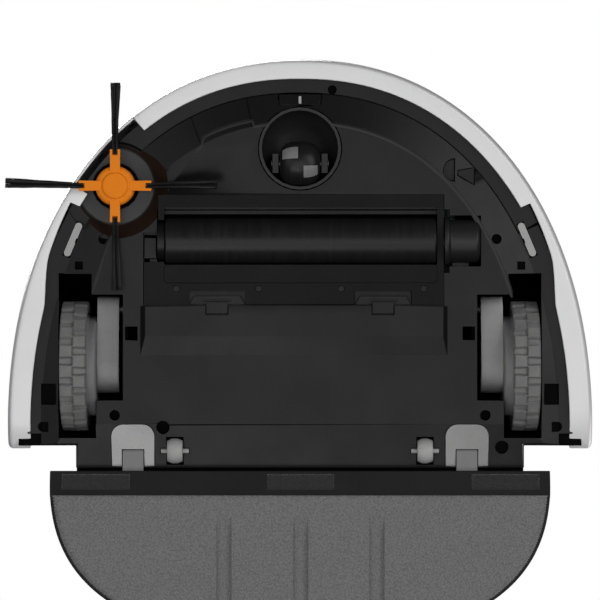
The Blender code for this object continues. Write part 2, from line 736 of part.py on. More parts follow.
def brush_motor(paint):
    """Gear motor above the pocket, its boss below the pocket's floor and its output shaft."""
    profile = [(0.0, 12.0), (2.0, 12.0), (2.0, 16.0), (13.0, 16.0), (13.0, 20.6), (4.6, 20.6), (4.6, 23.9),
               (11.0, 23.9), (11.0, 48.0), (0.0, 48.0)]
    return smooth(solid("side_brush_motor", turned(profile, (BRUSH_X, BRUSH_Y, 0), "Z", 20), paint))


def brush_hub(paint):
    centre = (BRUSH_X, BRUSH_Y, 0)
    profile = [(0.0, 7.9), (6.7, 7.9), (7.3, 8.4), (7.3, 9.4), (10.6, 9.4), (11.1, 9.9), (11.1, 15.4),
               (2.4, 15.4), (2.4, 11.6), (0.0, 11.6)]
    hub = solid("side_brush_hub", turned(profile, centre, "Z", 24), paint)
    width = (-2.9, 2.9)
    outward = (9.0, BRUSH_ARM_REACH)
    inward = (-BRUSH_ARM_REACH, -9.0)
    for x, y in ((inward, width), (outward, width), (width, inward), (width, outward)):
        join(hub, box([BRUSH_X + v for v in x], [BRUSH_Y + v for v in y], BRUSH_ARM_Z, 0.8))
    return pivot_at(hub, centre)


def brush_tuft(quarter, name, paint):
    """One flat tapered bundle of bristle that slopes down towards the floor."""
    turn = Matrix.Rotation(math.pi / 2 * quarter, 3, "Z")
    centre = Vector((BRUSH_X, BRUSH_Y, 0))
    rings = []
    for reach, half_width, z, half_height in TUFT_SECTIONS:
        corners = [(-half_width, -half_height), (half_width, -half_height),
                   (half_width, half_height), (-half_width, half_height)]
        rings.append([tuple(centre + turn @ Vector((reach, across, z + up))) for across, up in corners])
    return pivot_at(solid(name, loft(rings), paint), centre)


# Caster ------------------------------------------------------------------------------------------------

def caster_cup(paint):
    """Swivelling bowl with a stem above it and two cheeks that hold the axle."""
    centre = (0, CASTER_Y, 0)
    mouth = 9.7
    depth = 19.4
    bowl = [(0.0, mouth - 3.0), (21.3, mouth - 3.0)]
    for i in range(1, 8):
        share = i / 8
        bowl.append((21.3 * math.sqrt(1 - share ** 2.4), mouth + depth * share))
    bowl.append((0.0, mouth + depth))
    body = [(0.0, mouth), (22.9, mouth), (22.9, 31.2), (4.0, 31.2), (4.0, 38.0), (0.0, 38.0)]
    cup = solid("caster_cup", turned(body, centre, "Z", 28), paint)
    cut(cup, turned(bowl, centre, "Z", 28))
    axle_y = CASTER_Y + CASTER_TRAIL
    for side in (-1, 1):
        join(cup, box(side_range((11.8, 15.4), side), (axle_y - 5.5, axle_y + 5.5), (9.9, 30.0)))
    cut(cup, cylinder((0, axle_y, CASTER_WHEEL_R), 2.3, (-17.5, 17.5), "X", 20))
    return pivot_at(cup, centre)


def caster_axle(paint):
    axle_y = CASTER_Y + CASTER_TRAIL
    axle = cylinder((0, axle_y, CASTER_WHEEL_R), 2.0, (-16.0, 16.0), "X", 20)
    return pivot_at(smooth(solid("caster_axle", axle, paint)), (0, CASTER_Y, 0))


def caster_wheel(paint):
    """Barrel-shaped wheel, narrower at its ends than across its middle."""
    half = 11.1
    rim = []
    for i in range(9):
        x = -half * math.cos(math.pi * i / 8)
        rim.append((6.0 + (CASTER_WHEEL_R - 6.0) * (1 - abs(x / half) ** 2.6) ** 0.5, x))
    profile = [(2.4, -half)] + rim + [(2.4, half)]
    centre = (0, CASTER_Y + CASTER_TRAIL, CASTER_WHEEL_R)
    return pivot_at(smooth(solid("caster_wheel", turned(profile, centre, "X", 24, True), paint)), centre)


# Drive wheels ------------------------------------------------------------------------------------------

def arm_outline():
    """Side view of the arm in (y, z): a small boss at the pivot and a large one round the wheel axle."""
    boss = 7.0
    hub = 15.2
    reach = Vector((WHEEL_Y - PIVOT_Y, WHEEL_R - PIVOT_Z))
    lean = math.atan2(reach.y, reach.x)
    spread = math.acos((boss - hub) / reach.length)
    points = []
    for i in range(9):
        angle = lean + spread + (2 * math.pi - 2 * spread) * i / 8
        points.append((PIVOT_Y + boss * math.cos(angle), PIVOT_Z + boss * math.sin(angle)))
    for i in range(17):
        angle = lean - spread + 2 * spread * i / 16
        points.append((WHEEL_Y + hub * math.cos(angle), WHEEL_R + hub * math.sin(angle)))
    return points


def wheel_arm(side, name, paint):
    """Gearbox that carries the wheel and swings about the pivot pin."""
    low, high = side_range(ARM_X, side)
    outline = arm_outline()
    arm = solid(name, loft([[(x, y, z) for y, z in outline] for x in (low, high)]), paint)
    join(arm, cylinder((0, WHEEL_Y, WHEEL_R), 4.0, side_range((111.0, 128.0), side), "X", 24))
    cut(arm, cylinder((0, PIVOT_Y, PIVOT_Z), 2.8, side_range((90.0, 130.0), side), "X", 20))
    return pivot_at(smooth(arm), (0, PIVOT_Y, PIVOT_Z))


def pivot_pin(side, name, paint):
    pin = cylinder((0, PIVOT_Y, PIVOT_Z), 2.5, side_range((95.2, 113.4), side), "X", 20)
    return smooth(solid(name, pin, paint))


def wheel_hub(side, name, paint):
    """Wheel centre with the flange that covers the tyre's inner edge."""
    profile = [(4.4, 113.7), (26.8, 113.7), (28.0, 114.8), (28.0, 118.4), (29.2, 118.9), (29.2, 132.6),
               (27.0, 132.6), (25.0, 130.4), (8.0, 130.4), (6.0, 132.0), (4.4, 132.0)]
    profile = [(radius, side * along) for radius, along in profile]
    centre = (0, WHEEL_Y, WHEEL_R)
    return pivot_at(smooth(solid(name, turned(profile, centre, "X", 24, True), paint)), centre)


def tyre(side, name, paint):
    inner = 29.6
    low, high = WHEEL_X
    profile = [(inner, low + 0.4), (WHEEL_R - 1.2, low), (WHEEL_R, low + 1.2), (WHEEL_R, high - 1.2),
               (WHEEL_R - 1.2, high), (inner, high - 0.4)]
    profile = [(radius, side * along) for radius, along in profile]
    centre = (0, WHEEL_Y, WHEEL_R)
    return pivot_at(smooth(solid(name, turned(profile, centre, "X", 36, True), paint)), centre)


def rear_roller(side, name, paint):
    """Small barrel with its own stub axles."""
    r = REAR_ROLLER_R
    profile = [(0.0, -7.7), (1.3, -7.7), (1.3, -4.3), (r - 1.2, -4.3), (r, -1.5),
               (r, 1.5), (r - 1.2, 4.3), (1.3, 4.3), (1.3, 7.7), (0.0, 7.7)]
    centre = (side * REAR_ROLLER_X, REAR_ROLLER_Y, REAR_ROLLER_Z)
    return pivot_at(smooth(solid(name, turned(profile, centre, "X", 16), paint)), centre)


# Springs -----------------------------------------------------------------------------------------------

def coil_spring(name, start, end, radius, wire, turns, paint):
    """Round wire wound about the line from start to end."""
    start = Vector(start)
    along = Vector(end) - start
    frame = along.to_track_quat("Z", "Y").to_matrix()
    steps = int(turns * 8)
    sides = 4
    rings = []
    for i in range(steps + 1):
        angle = 2 * math.pi * turns * i / steps
        outward = frame @ Vector((math.cos(angle), math.sin(angle), 0))
        up = along.normalized()
        middle = start + up * wire + outward * radius + (along - up * 2 * wire) * (i / steps)
        ring = []
        for k in range(sides):
            turn = 2 * math.pi * k / sides
            ring.append(tuple(middle + outward * wire * math.cos(turn) + up * wire * math.sin(turn)))
        rings.append(ring)
    return smooth(solid(name, loft(rings), paint), 60.0)


# Inner pieces ------------------------------------------------------------------------------------------

def suction_fan(paint):
    centre = (36.0, 117.0, 0)
    profile = [(0.0, 27.2), (30.0, 27.2), (30.0, 46.0), (24.0, 52.0), (24.0, 62.0), (0.0, 62.0)]
    fan = solid("suction_fan", turned(profile, centre, "Z", 24), paint)
    return smooth(join(fan, box((8.0, 40.0), (84.4, 100.0), (36.0, 58.0))))


# Dust bin ----------------------------------------------------------------------------------------------

def dust_bin(paint):
    """Open-topped tray with an inlet in its front wall and a filter window in its rear wall."""
    tray = solid("dust_bin", box((-BIN_X, BIN_X), BIN_Y, BIN_Z, 5.0), paint)
    cut(tray, box((-BIN_X + 2, BIN_X - 2), (BIN_Y[0] + 2, BIN_Y[1] - 2), (BIN_Z[0] + 2, 95.0), 3.5),
        box((-36.0, 36.0), (0.0, 15.0), (30.0, 46.0)),
        box((-40.0, 40.0), (70.0, 85.0), (38.0, 70.0)))
    return pivot_at(tray, (0, sum(BIN_Y) / 2, BIN_Z[0]))


def bin_filter(paint):
    block = box((-39.5, 39.5), (BIN_Y[1] - 1.8, BIN_Y[1] + 1.2), (38.4, 69.6))
    return pivot_at(solid("bin_filter", block, paint), (0, sum(BIN_Y) / 2, BIN_Z[0]))


def bin_lid(paint):
    edge = 1.6
    slab = box((-BIN_X - edge, BIN_X + edge), (BIN_Y[0] - edge, BIN_Y[1] + edge), LID_Z, 5.6)
    lid = solid("bin_lid", slab, paint)
    cut(lid, box((-24.0, 24.0), (30.0, 56.0), (TOP_Z - 2.2, 95.0), 3.0))
    return pivot_at(lid, (0, sum(BIN_Y) / 2, BIN_Z[0]))


def bin_handle(paint):
    """Bail that folds flat into the lid."""
    bail = solid("bin_handle", box((-23.6, 23.6), (32.6, 53.3), (87.8, 89.3), 0.7), paint)
    cut(bail, box((-19.6, 19.6), (37.0, 60.0), (80.0, 95.0), 1.5))
    return pivot_at(bail, (0, 52.4, 88.55))


# Mopping module ----------------------------------------------------------------------------------------

def mop_plate(paint):
    """Plate with a sloping front strip and the two hooks that hang on the base's latch plates."""
    plate = solid("mop_plate", prism(mop_outline(0.0, MOP_Y[0]), MOP_Z[0], MOP_Z[1]), paint)
    slope = [(MOP_Y[0] - 2.0, 2.0), (MOP_Y[0] - 2.0, 11.0), (MOP_Y[0], 10.2),
             (CLOTH_Y - 0.6, MOP_Z[0]), (CLOTH_Y - 0.6, 2.0)]
    cut(plate, loft([[(x, y, z) for y, z in slope] for x in (-150.0, 150.0)]))
    for side in (-1, 1):
        hook = side_range((87.2, 98.7), side)
        join(plate, box(hook, (70.0, 76.0), (10.0, 16.6)), box(hook, (54.3, 71.0), (13.2, 16.6)))
    return pivot_at(plate, (0, 0, 0))


def mop_cloth(paint):
    cloth = prism(mop_outline(1.6, CLOTH_Y), 0.5, MOP_Z[0] - GAP)
    return pivot_at(solid("mop_cloth", cloth, paint), (0, 0, 0))


def water_tank(paint):
    """Tank between the plate and the bay's roof, flush with the robot's back."""
    start = 77.0
    inset = 0.8
    outline = [point for point in back_curve(inset) if point[1] > start + 1.0]
    outline = [(BACK_HALF_WIDTH - inset, start)] + outline + [(inset - BACK_HALF_WIDTH, start)]
    tank = prism(outline, MOP_Z[1] + GAP, BAY_Z - 0.5)
    return pivot_at(solid("water_tank", tank, paint), (0, 0, 0))


def build():
    for thing in list(bpy.data.objects):
        bpy.data.objects.remove(thing)
    m = make_materials()

    base_cover(m["black"])
    front_rim(m["black"])
    top_cover(m["white"])
    bumper_shell(m["white"])
    front_sensor(m["gloss"])
    cliff_sensor(m["gloss"])

    roller_housing(m["black"])
    roller_bearing(m["black"])
    gear_housing(m["black"])
    roller_motor(m["steel"])
    roller_sleeve(m["rubber"])
    roller_core(m["black"])
    roller_guard(m["black"])
    scraper_blade(m["rubber"])

    brush_motor(m["grey"])
    brush_hub(m["orange"])
    for quarter, word in enumerate(("right", "rear", "left", "front")):
        brush_tuft(quarter, "brush_tuft_" + word, m["bristle"])

    caster_cup(m["black"])
    caster_axle(m["steel"])
    caster_wheel(m["gloss"])

    for side, word in ((-1, "left"), (1, "right")):
        charge_contact(side, "charge_contact_" + word, m["steel"])
        latch_plate(side, "latch_plate_" + word, m["light"])
        guard_latch(side, "guard_latch_" + word, m["black"])
        wheel_arm(side, "wheel_gearbox_" + word, m["grey"])
        pivot_pin(side, "pivot_pin_" + word, m["steel"])
        wheel_hub(side, "wheel_hub_" + word, m["grey"])
        tyre(side, "tyre_" + word, m["tread"])
        rear_roller(side, "rear_roller_" + word, m["light"])
        coil_spring("arm_spring_" + word, (side * 106.5, 0, 52.6), (side * 106.5, 0, 86.4), 4.0, 0.6, 6,
                    m["steel"])
        coil_spring("bumper_spring_" + word, (side * 20, -160.3, 34), (side * 20, -156.2, 34), 3.0, 0.4, 3,
                    m["steel"])
        switch = box((side * 60 - 6, side * 60 + 6), (-138, -131), (21.0, 31.0))
        solid("bump_switch_" + word, switch, m["black"])

    control_panel(m["gloss"])
    button(-1, "power_button", m["gloss"])
    button(1, "dock_button", m["gloss"])
    camera = (0, CAMERA_Y, 0)
    smooth(solid("camera_window", cylinder(camera, CAMERA_R, (86.6, TOP_Z + 0.3), "Z", 40), m["smoke"]))
    smooth(solid("camera_module", cylinder(camera, 7.5, (66.0, 86.2), "Z", 28), m["black"]))
    solid("main_board", box((-88, 88), (-92, -8), (56.0, 57.6)), m["board"])
    solid("battery_pack", box((-92, -18), (88, 146), (27.2, 47.0), 4.0), m["black"])
    suction_fan(m["grey"])

    dust_bin(m["smoke"])
    bin_filter(m["cloth"])
    bin_lid(m["white"])
    bin_handle(m["grey"])

    mop_plate(m["black"])
    mop_cloth(m["cloth"])
    water_tank(m["smoke"])


build()
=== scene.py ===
"""Looks of the robot vacuum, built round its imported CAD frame.

Lengths are in millimetres while a mesh is being made, and become metres in piece(). The frame is shared
with the CAD model: +Z is up, the robot drives towards -Y and its underside faces -Z.
"""

import json
import math

import bmesh
import bpy
import numpy as np
from mathutils import Matrix, Vector, geometry, noise

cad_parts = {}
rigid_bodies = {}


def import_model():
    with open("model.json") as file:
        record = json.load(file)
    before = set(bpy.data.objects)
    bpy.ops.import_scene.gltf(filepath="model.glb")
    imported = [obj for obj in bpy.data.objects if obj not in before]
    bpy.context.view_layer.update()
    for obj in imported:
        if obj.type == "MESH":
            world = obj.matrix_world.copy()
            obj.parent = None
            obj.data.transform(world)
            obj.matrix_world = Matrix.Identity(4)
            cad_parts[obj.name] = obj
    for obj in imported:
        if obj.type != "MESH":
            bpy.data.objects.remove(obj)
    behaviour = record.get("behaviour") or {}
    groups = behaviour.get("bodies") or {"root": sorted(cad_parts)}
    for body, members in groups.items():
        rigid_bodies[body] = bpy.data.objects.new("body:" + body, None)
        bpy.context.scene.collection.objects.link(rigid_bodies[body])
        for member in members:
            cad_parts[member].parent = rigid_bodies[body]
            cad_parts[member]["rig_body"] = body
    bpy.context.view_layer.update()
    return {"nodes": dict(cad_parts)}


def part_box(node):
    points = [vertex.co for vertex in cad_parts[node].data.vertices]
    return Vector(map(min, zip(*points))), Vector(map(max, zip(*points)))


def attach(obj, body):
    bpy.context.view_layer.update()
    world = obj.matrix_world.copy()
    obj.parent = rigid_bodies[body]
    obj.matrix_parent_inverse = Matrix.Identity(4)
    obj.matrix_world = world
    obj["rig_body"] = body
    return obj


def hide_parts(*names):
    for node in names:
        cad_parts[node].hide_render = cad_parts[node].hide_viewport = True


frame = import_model()

MM = 0.001
EDGE_ROOM = 0.4                 # part of a short neighbouring edge that rounding may take up
SIDES = ((-1, "left"), (1, "right"))

# Plan outline of the bumper, as in the CAD model
HALF_WIDTH = 165.0
FRONT_DEPTH = 210.6
FRONT_CENTRE_Y = 45.6
FRONT_POWER = 2.18
EAR_END_Y = 54.0
EAR_TURN_Y = 33.0               # the lip starts to curve up here, towards the ear's end
EAR_TURN_R = 27.0
EAR_CORNER = 3.0                # rounding of the ear's end
BRUSH_CUTOUT_Y = (-133.0, -95.0)
CUTOUT_SKIN = 4.3               # lip inset along the side brush's cut-out
LIP_FRONT = 12.8                # lip inset round the front
LIP_STEPS = ((-87.0, 7.2), (-55.0, 9.0), (-37.0, 13.4), (-29.0, 15.0), (40.0, 14.7))  # (y, lip inset)
SEAM = 20.5                     # inset of the joint between base case and front rim
RIDGE = 37.3                    # inset of the edge where the flat underside starts to rise
FLAT_Z = 10.0
RIM_Z = 16.0
JOINT_HALF = 0.22               # half the width of a dark panel joint line

# Drive wheels
LUGS = 20
LUG_DEPTH = 2.1
GROOVE_SHARE = 0.4              # part of each pitch that is groove
WALL_SHARE = 0.02               # half the width of a lug's sloping wall, as part of a pitch
TAPER_SHARE = 0.035             # how much a lug narrows towards its outer side, as part of a pitch
GEARBOX_OUTER_X = 113.0         # the body ends within this, the shaft's boss does not
GEARBOX_SHIFT = 1.1             # how far out the body moves to meet the wheel's flange

# Side brush
STRANDS = 180
STRAND_R = 0.20
TUFT_REACH = (57.0, 58.2, 60.4, 56.8)   # right, rear, left, front: worn to slightly different lengths
TUFT_LEAN = (-0.02, -0.035, 0.03, 0.02)
# How a tuft runs outwards: (distance out, half width, height, half height)
TUFT_PATH = ((17.5, 1.35, 9.75, 0.45), (21.0, 1.5, 9.4, 0.55), (24.5, 1.6, 7.8, 0.6), (29.0, 1.7, 5.8, 0.6),
             (36.0, 1.85, 3.1, 0.6), (43.0, 2.1, 2.2, 0.6), (50.0, 2.4, 1.7, 0.6), (57.0, 2.75, 1.3, 0.55))

# Mopping pad
PAD_SLOTS = (-42.1, 0.4, 42.6)  # centres of the channels in the pad's rear half
PAD_SLOT_HALF = 4.2
PAD_SLOT_START = 90.5
PAD_SLOT_RAMP = 12.0
PAD_GRID = 0.95
PAD_INSET = 1.6                 # how far the pad's edge lies inside the plate's
HOOK_PATCHES = ((-132.2, -94.5), (-18.2, 18.9), (95.3, 133.0))


def box_mm(node):
    """Lowest and highest corner of a CAD node in millimetres."""
    low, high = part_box(node)
    return low / MM, high / MM


# Materials ---------------------------------------------------

def feed(tree, node, inputs):
    """Set each input to a value, or link it to another node's output."""
    for key, value in inputs.items():
        if isinstance(value, bpy.types.NodeSocket):
            tree.links.new(value, node.inputs[key])
        else:
            node.inputs[key].default_value = value


def add_node(tree, kind, inputs, **settings):
    """A new node with its settings and inputs."""
    node = tree.nodes.new(kind)
    for name, value in settings.items():
        setattr(node, name, value)
    feed(tree, node, inputs)
    return node


def tint(colour):
    """Colour from three numbers or from one level of grey."""
    return (*colour, 1.0) if isinstance(colour, tuple) else (colour, colour, colour, 1.0)


class Finish:
    """A Principled surface, with helpers that add texture nodes on millimetre coordinates."""

    def __init__(self, name, colour, roughness, **sockets):
        self.surface = bpy.data.materials.new(name)
        self.surface.use_nodes = True
        self.tree = self.surface.node_tree
        self.shader = self.tree.nodes["Principled BSDF"]
        self.colour = tint(colour)
        feed(self.tree, self.shader, {"Base Color": self.colour, "Roughness": roughness})
        feed(self.tree, self.shader, {socket.replace("_", " "): value for socket, value in sockets.items()})
        where = self.add("ShaderNodeTexCoord", {}).outputs["Object"]
        to_mm = self.add("ShaderNodeMapping", {"Scale": (1 / MM,) * 3, "Vector": where})
        self.place = to_mm.outputs["Vector"]

    def add(self, kind, inputs, **settings):
        return add_node(self.tree, kind, inputs, **settings)

    def stretched(self, x, y, z):
        """The place, scaled along each axis, for grain that runs one way."""
        return self.add("ShaderNodeMapping", {"Scale": (x, y, z), "Vector": self.place}).outputs["Vector"]

    def noise(self, scale, detail=3.0, roughness=0.55, place=None):
        return self.add("ShaderNodeTexNoise", {"Scale": scale, "Detail": detail, "Roughness": roughness,
                                               "Vector": place or self.place}).outputs["Fac"]

    def cells(self, scale):
        return self.add("ShaderNodeTexVoronoi", {"Scale": scale, "Vector": self.place}).outputs["Distance"]

    def spread(self, value, low, high, to_low=0.0, to_high=1.0):
        return self.add("ShaderNodeMapRange", {"Value": value, "From Min": low, "From Max": high,
                                               "To Min": to_low, "To Max": to_high}).outputs["Result"]

    def times(self, a, b):
        return self.add("ShaderNodeMath", {0: a, 1: b}, operation="MULTIPLY").outputs["Value"]

    def normal(self):
        return self.add("ShaderNodeNewGeometry", {}).outputs["Normal"]

    def facing(self):
        """1 on faces that look straight up, -1 on faces that look straight down."""
        return self.add("ShaderNodeSeparateXYZ", {"Vector": self.normal()}).outputs["Z"]

    def edges(self, radius, sharp=0.86):
        """About 1 along sharp edges and 0 on open faces."""
        rounded = self.add("ShaderNodeBevel", {"Radius": radius * MM}, samples=4).outputs["Normal"]
        dot = self.add("ShaderNodeVectorMath", {0: rounded, 1: self.normal()}, operation="DOT_PRODUCT")
        return self.spread(dot.outputs["Value"], 0.995, sharp)

    def mottle(self, *layers):
        """Mix colours over the surface's colour; each layer is (factor, colour)."""
        base = self.shader.inputs["Base Color"]
        for factor, colour in layers:
            below = base.links[0].from_socket if base.links else self.colour
            mix = self.add("ShaderNodeMix", {}, data_type="RGBA")
            feed(self.tree, mix, {"Factor": factor, 6: below, 7: tint(colour)})
            self.tree.links.new(mix.outputs[2], base)

    def rough(self, value, low, high):
        """Let the roughness follow a texture between two values."""
        feed(self.tree, self.shader, {"Roughness": self.spread(value, 0.3, 0.7, low, high)})

    def relief(self, *layers):
        """Bump from textures, each given as (height, depth in millimetres)."""
        for height, depth in layers:
            bump = self.add("ShaderNodeBump", {"Distance": depth * MM, "Strength": 1.0, "Height": height})
            below = self.shader.inputs["Normal"].links
            if below:
                self.tree.links.new(below[0].from_socket, bump.inputs["Normal"])
            self.tree.links.new(bump.outputs["Normal"], self.shader.inputs["Normal"])


def grained_plastic(name, colour, light, dark, roughness, edge, gloss=0.3, metallic=0.0):
    """Moulded plastic with a spark-eroded grain, faint blotches and paler worn edges."""
    finish = Finish(name, colour, roughness, Specular_IOR_Level=gloss, Metallic=metallic)
    grain = finish.noise(2.6, 2.0)
    blotch = finish.noise(0.035, 4.0)
    dust = finish.spread(finish.noise(0.9, 5.0, 0.7), 0.68, 0.80)
    finish.mottle((finish.spread(blotch, 0.35, 0.65), dark), (finish.spread(grain, 0.45, 0.75), light),
                  (finish.times(dust, 0.35), light))
    if edge:
        wear = finish.spread(finish.noise(0.5), 0.3, 0.6, 0.35, 0.9)
        finish.mottle((finish.times(finish.edges(0.45), wear), edge))
    halves = {0: finish.times(grain, 0.5), 1: finish.times(blotch, 0.5)}
    unevenness = finish.add("ShaderNodeMath", halves, operation="ADD").outputs["Value"]
    finish.rough(unevenness, roughness - 0.06, roughness + 0.10)
    finish.relief((grain, 0.02), (finish.noise(0.25, 2.0), 0.02))
    return finish


def base_case():
    """The case plastic: painted black shade in its recesses, with a paler, rust-tinged pocket round the
    brush.
    """
    finish = grained_plastic("base_case", *PLASTICS["case"][1:])
    parts = finish.add("ShaderNodeSeparateXYZ", {"Vector": finish.place}).outputs
    level = parts["Z"]
    flat = finish.add("ShaderNodeCombineXYZ", {"X": parts["X"], "Y": parts["Y"]}).outputs["Vector"]
    away = finish.add("ShaderNodeVectorMath", {0: flat, 1: brush_centre()}, operation="DISTANCE")
    outside = finish.spread(away.outputs["Value"], 29.6, 30.0)
    # painted shade: surfaces more than about 17 mm up into the case, in its holes and wells outside the brush
    # pocket, turn near black and lose their reflection
    painted_shade_deep = finish.times(finish.spread(level, 16.8, 17.5), outside)
    in_pocket = finish.times(finish.spread(level, 10.2, 10.8), finish.spread(outside, 1.0, 0.0))
    wall = finish.times(finish.spread(finish.facing(), -0.88, -0.75), in_pocket)
    pocket_floor = finish.times(finish.spread(level, 19.5, 20.6), in_pocket)
    finish.mottle((painted_shade_deep, 0.0012), (wall, (0.021, 0.0125, 0.0085)), (pocket_floor, 0.048))
    gloss = finish.shader.inputs["Specular IOR Level"].default_value
    feed(finish.tree, finish.shader, {"Specular IOR Level": finish.spread(painted_shade_deep, 0.0, 1.0, gloss, 0.02)})
    return finish.surface


def white_shell(name="white_shell", painted_shade_inside=False):
    """Smooth white shell; with painted_shade_inside it is painted black, as shade, wherever it faces down
    into the robot.
    """
    finish = Finish(name, (0.80, 0.80, 0.80), 0.32, Coat_Weight=0.12, Coat_Roughness=0.18)
    blotch = finish.noise(0.02, 3.0)
    peel = finish.noise(0.7, 2.0)
    specks = finish.spread(finish.noise(1.4, 4.0, 0.7), 0.70, 0.82)
    # the last layer is a painted highlight: paler colour along the shell's sharp edges
    finish.mottle((finish.spread(blotch, 0.35, 0.65), (0.765, 0.767, 0.77)),
                  (finish.times(specks, 0.4), (0.62, 0.61, 0.59)),
                  (finish.times(finish.edges(0.5), 0.35), (0.88, 0.88, 0.87)))
    if painted_shade_inside:
        # painted shade: faces that look down into the robot turn black and lose their specular and coat
        facing = finish.facing()
        finish.mottle((finish.spread(facing, -0.4, -0.7), 0.002))
        for socket, outside in (("Specular IOR Level", 0.5), ("Coat Weight", 0.12)):
            feed(finish.tree, finish.shader, {socket: finish.spread(facing, -0.4, -0.7, outside, 0.0)})
    finish.rough(finish.noise(0.09, 4.0), 0.27, 0.40)
    finish.relief((peel, 0.012), (finish.noise(3.0, 1.0), 0.008))
    return finish.surface


def gloss_black():
    finish = Finish("gloss_black", (0.010, 0.010, 0.012), 0.10, Coat_Weight=0.5, Coat_Roughness=0.04)
    scuffs = finish.noise(0.12, 6.0, 0.7, finish.stretched(1.0, 6.0, 1.0))
    finish.mottle((finish.spread(scuffs, 0.6, 0.8), (0.020, 0.020, 0.022)))
    finish.rough(scuffs, 0.07, 0.20)
    finish.relief((finish.noise(0.4, 2.0), 0.008))
    return finish.surface


def satin_roller():
    """Smooth rubber with faint rubbed rings round it and hair-fine lint."""
    finish = Finish("roller_rubber", (0.009, 0.009, 0.0095), 0.34, Specular_IOR_Level=0.22)
    rings = finish.noise(0.5, 4.0, 0.6, finish.stretched(1.0, 0.04, 0.04))
    lint = finish.spread(finish.noise(1.2, 5.0, 0.75), 0.70, 0.84)
    finish.mottle((finish.spread(rings, 0.4, 0.7), (0.013, 0.013, 0.0135)),
                  (finish.times(lint, 0.3), 0.05))
    finish.rough(rings, 0.30, 0.42)
    finish.relief((rings, 0.02), (finish.noise(2.2, 2.0), 0.012))
    return finish.surface


def tread_rubber():
    finish = Finish("tread_rubber", (0.165, 0.165, 0.163), 0.72, Sheen_Weight=0.05, Sheen_Roughness=0.5)
    grain = finish.noise(2.0, 3.0, 0.6)
    dust = finish.noise(0.15, 5.0, 0.65)
    # the last layer is painted shade: near-black colour along the lugs' sharp edges
    finish.mottle((finish.spread(grain, 0.4, 0.7), (0.130, 0.130, 0.129)),
                  (finish.spread(dust, 0.45, 0.75), (0.205, 0.203, 0.198)),
                  (finish.times(finish.edges(0.75, 0.94), 0.92), 0.012))
    finish.rough(dust, 0.64, 0.82)
    finish.relief((grain, 0.06), (finish.noise(0.6, 3.0), 0.05))
    return finish.surface


def brushed_steel():
    finish = Finish("steel", 0.55, 0.32, Metallic=1.0)
    brush = finish.noise(0.6, 4.0, 0.6, finish.stretched(0.3, 6.0, 6.0))
    stain = finish.noise(0.08, 4.0, 0.6)
    finish.mottle((finish.spread(stain, 0.4, 0.7), 0.44), (finish.spread(brush, 0.55, 0.8), 0.6875))
    finish.rough(brush, 0.26, 0.44)
    finish.relief((brush, 0.01))
    return finish.surface


def circuit_board():
    finish = Finish("circuit_board", (0.016, 0.12, 0.05), 0.35)
    tracks = finish.cells(0.25)
    finish.mottle((finish.spread(tracks, 0.20, 0.23), (0.03, 0.20, 0.085)))
    finish.relief((finish.spread(tracks, 0.20, 0.23), 0.03))
    return finish.surface


def fabric(name, colour, light, dark, pile=0.35, scale=0.85):
    """Short looped pile, thrown into small tufts of lighter and darker yarn."""
    finish = Finish(name, colour, 0.95, Sheen_Weight=0.35, Sheen_Roughness=0.5)
    loops = finish.cells(scale)
    fuzz = finish.noise(1.9, 4.0, 0.7)
    cloud = finish.noise(0.05, 3.0)
    finish.mottle((finish.spread(cloud, 0.35, 0.7), 0.92 * colour),
                  (finish.spread(loops, 0.25, 0.75), dark),
                  (finish.spread(fuzz, 0.48, 0.74), light))
    finish.rough(fuzz, 0.88, 1.0)
    finish.relief((finish.spread(loops, 0.7, 0.1), pile), (fuzz, 0.18))
    return finish.surface


def bristle():
    finish = Finish("bristle", 0.004, 0.45, Specular_IOR_Level=0.22)
    streak = finish.noise(0.7, 3.0)
    finish.mottle((finish.spread(streak, 0.45, 0.75), (0.011, 0.011, 0.010)))
    finish.rough(streak, 0.32, 0.5)
    return finish.surface


def smoke(name, colour, roughness):
    """Dark translucent plastic, deeper where the light crosses more of it."""
    finish = Finish(name, colour, roughness, Transmission_Weight=0.55, IOR=1.49)
    streak = finish.noise(0.05, 4.0)
    finish.mottle((finish.spread(streak, 0.4, 0.7), tuple(0.8 * c for c in colour)))
    finish.rough(finish.noise(0.2, 5.0, 0.65), roughness - 0.03, roughness + 0.1)
    finish.relief((finish.noise(0.3, 2.0), 0.01))
    return finish.surface


def filter_paper():
    """Pleats of pale filter paper."""
    finish = Finish("filter_paper", (0.55, 0.54, 0.50), 0.9)
    pleat = finish.add("ShaderNodeTexWave", {"Scale": 0.12, "Vector": finish.place}).outputs["Fac"]
    fibres = finish.spread(finish.noise(1.5), 0.5, 0.8)
    finish.mottle((pleat, (0.34, 0.33, 0.31)), (fibres, (0.62, 0.61, 0.57)))
    finish.relief((pleat, 1.2))
    return finish.surface


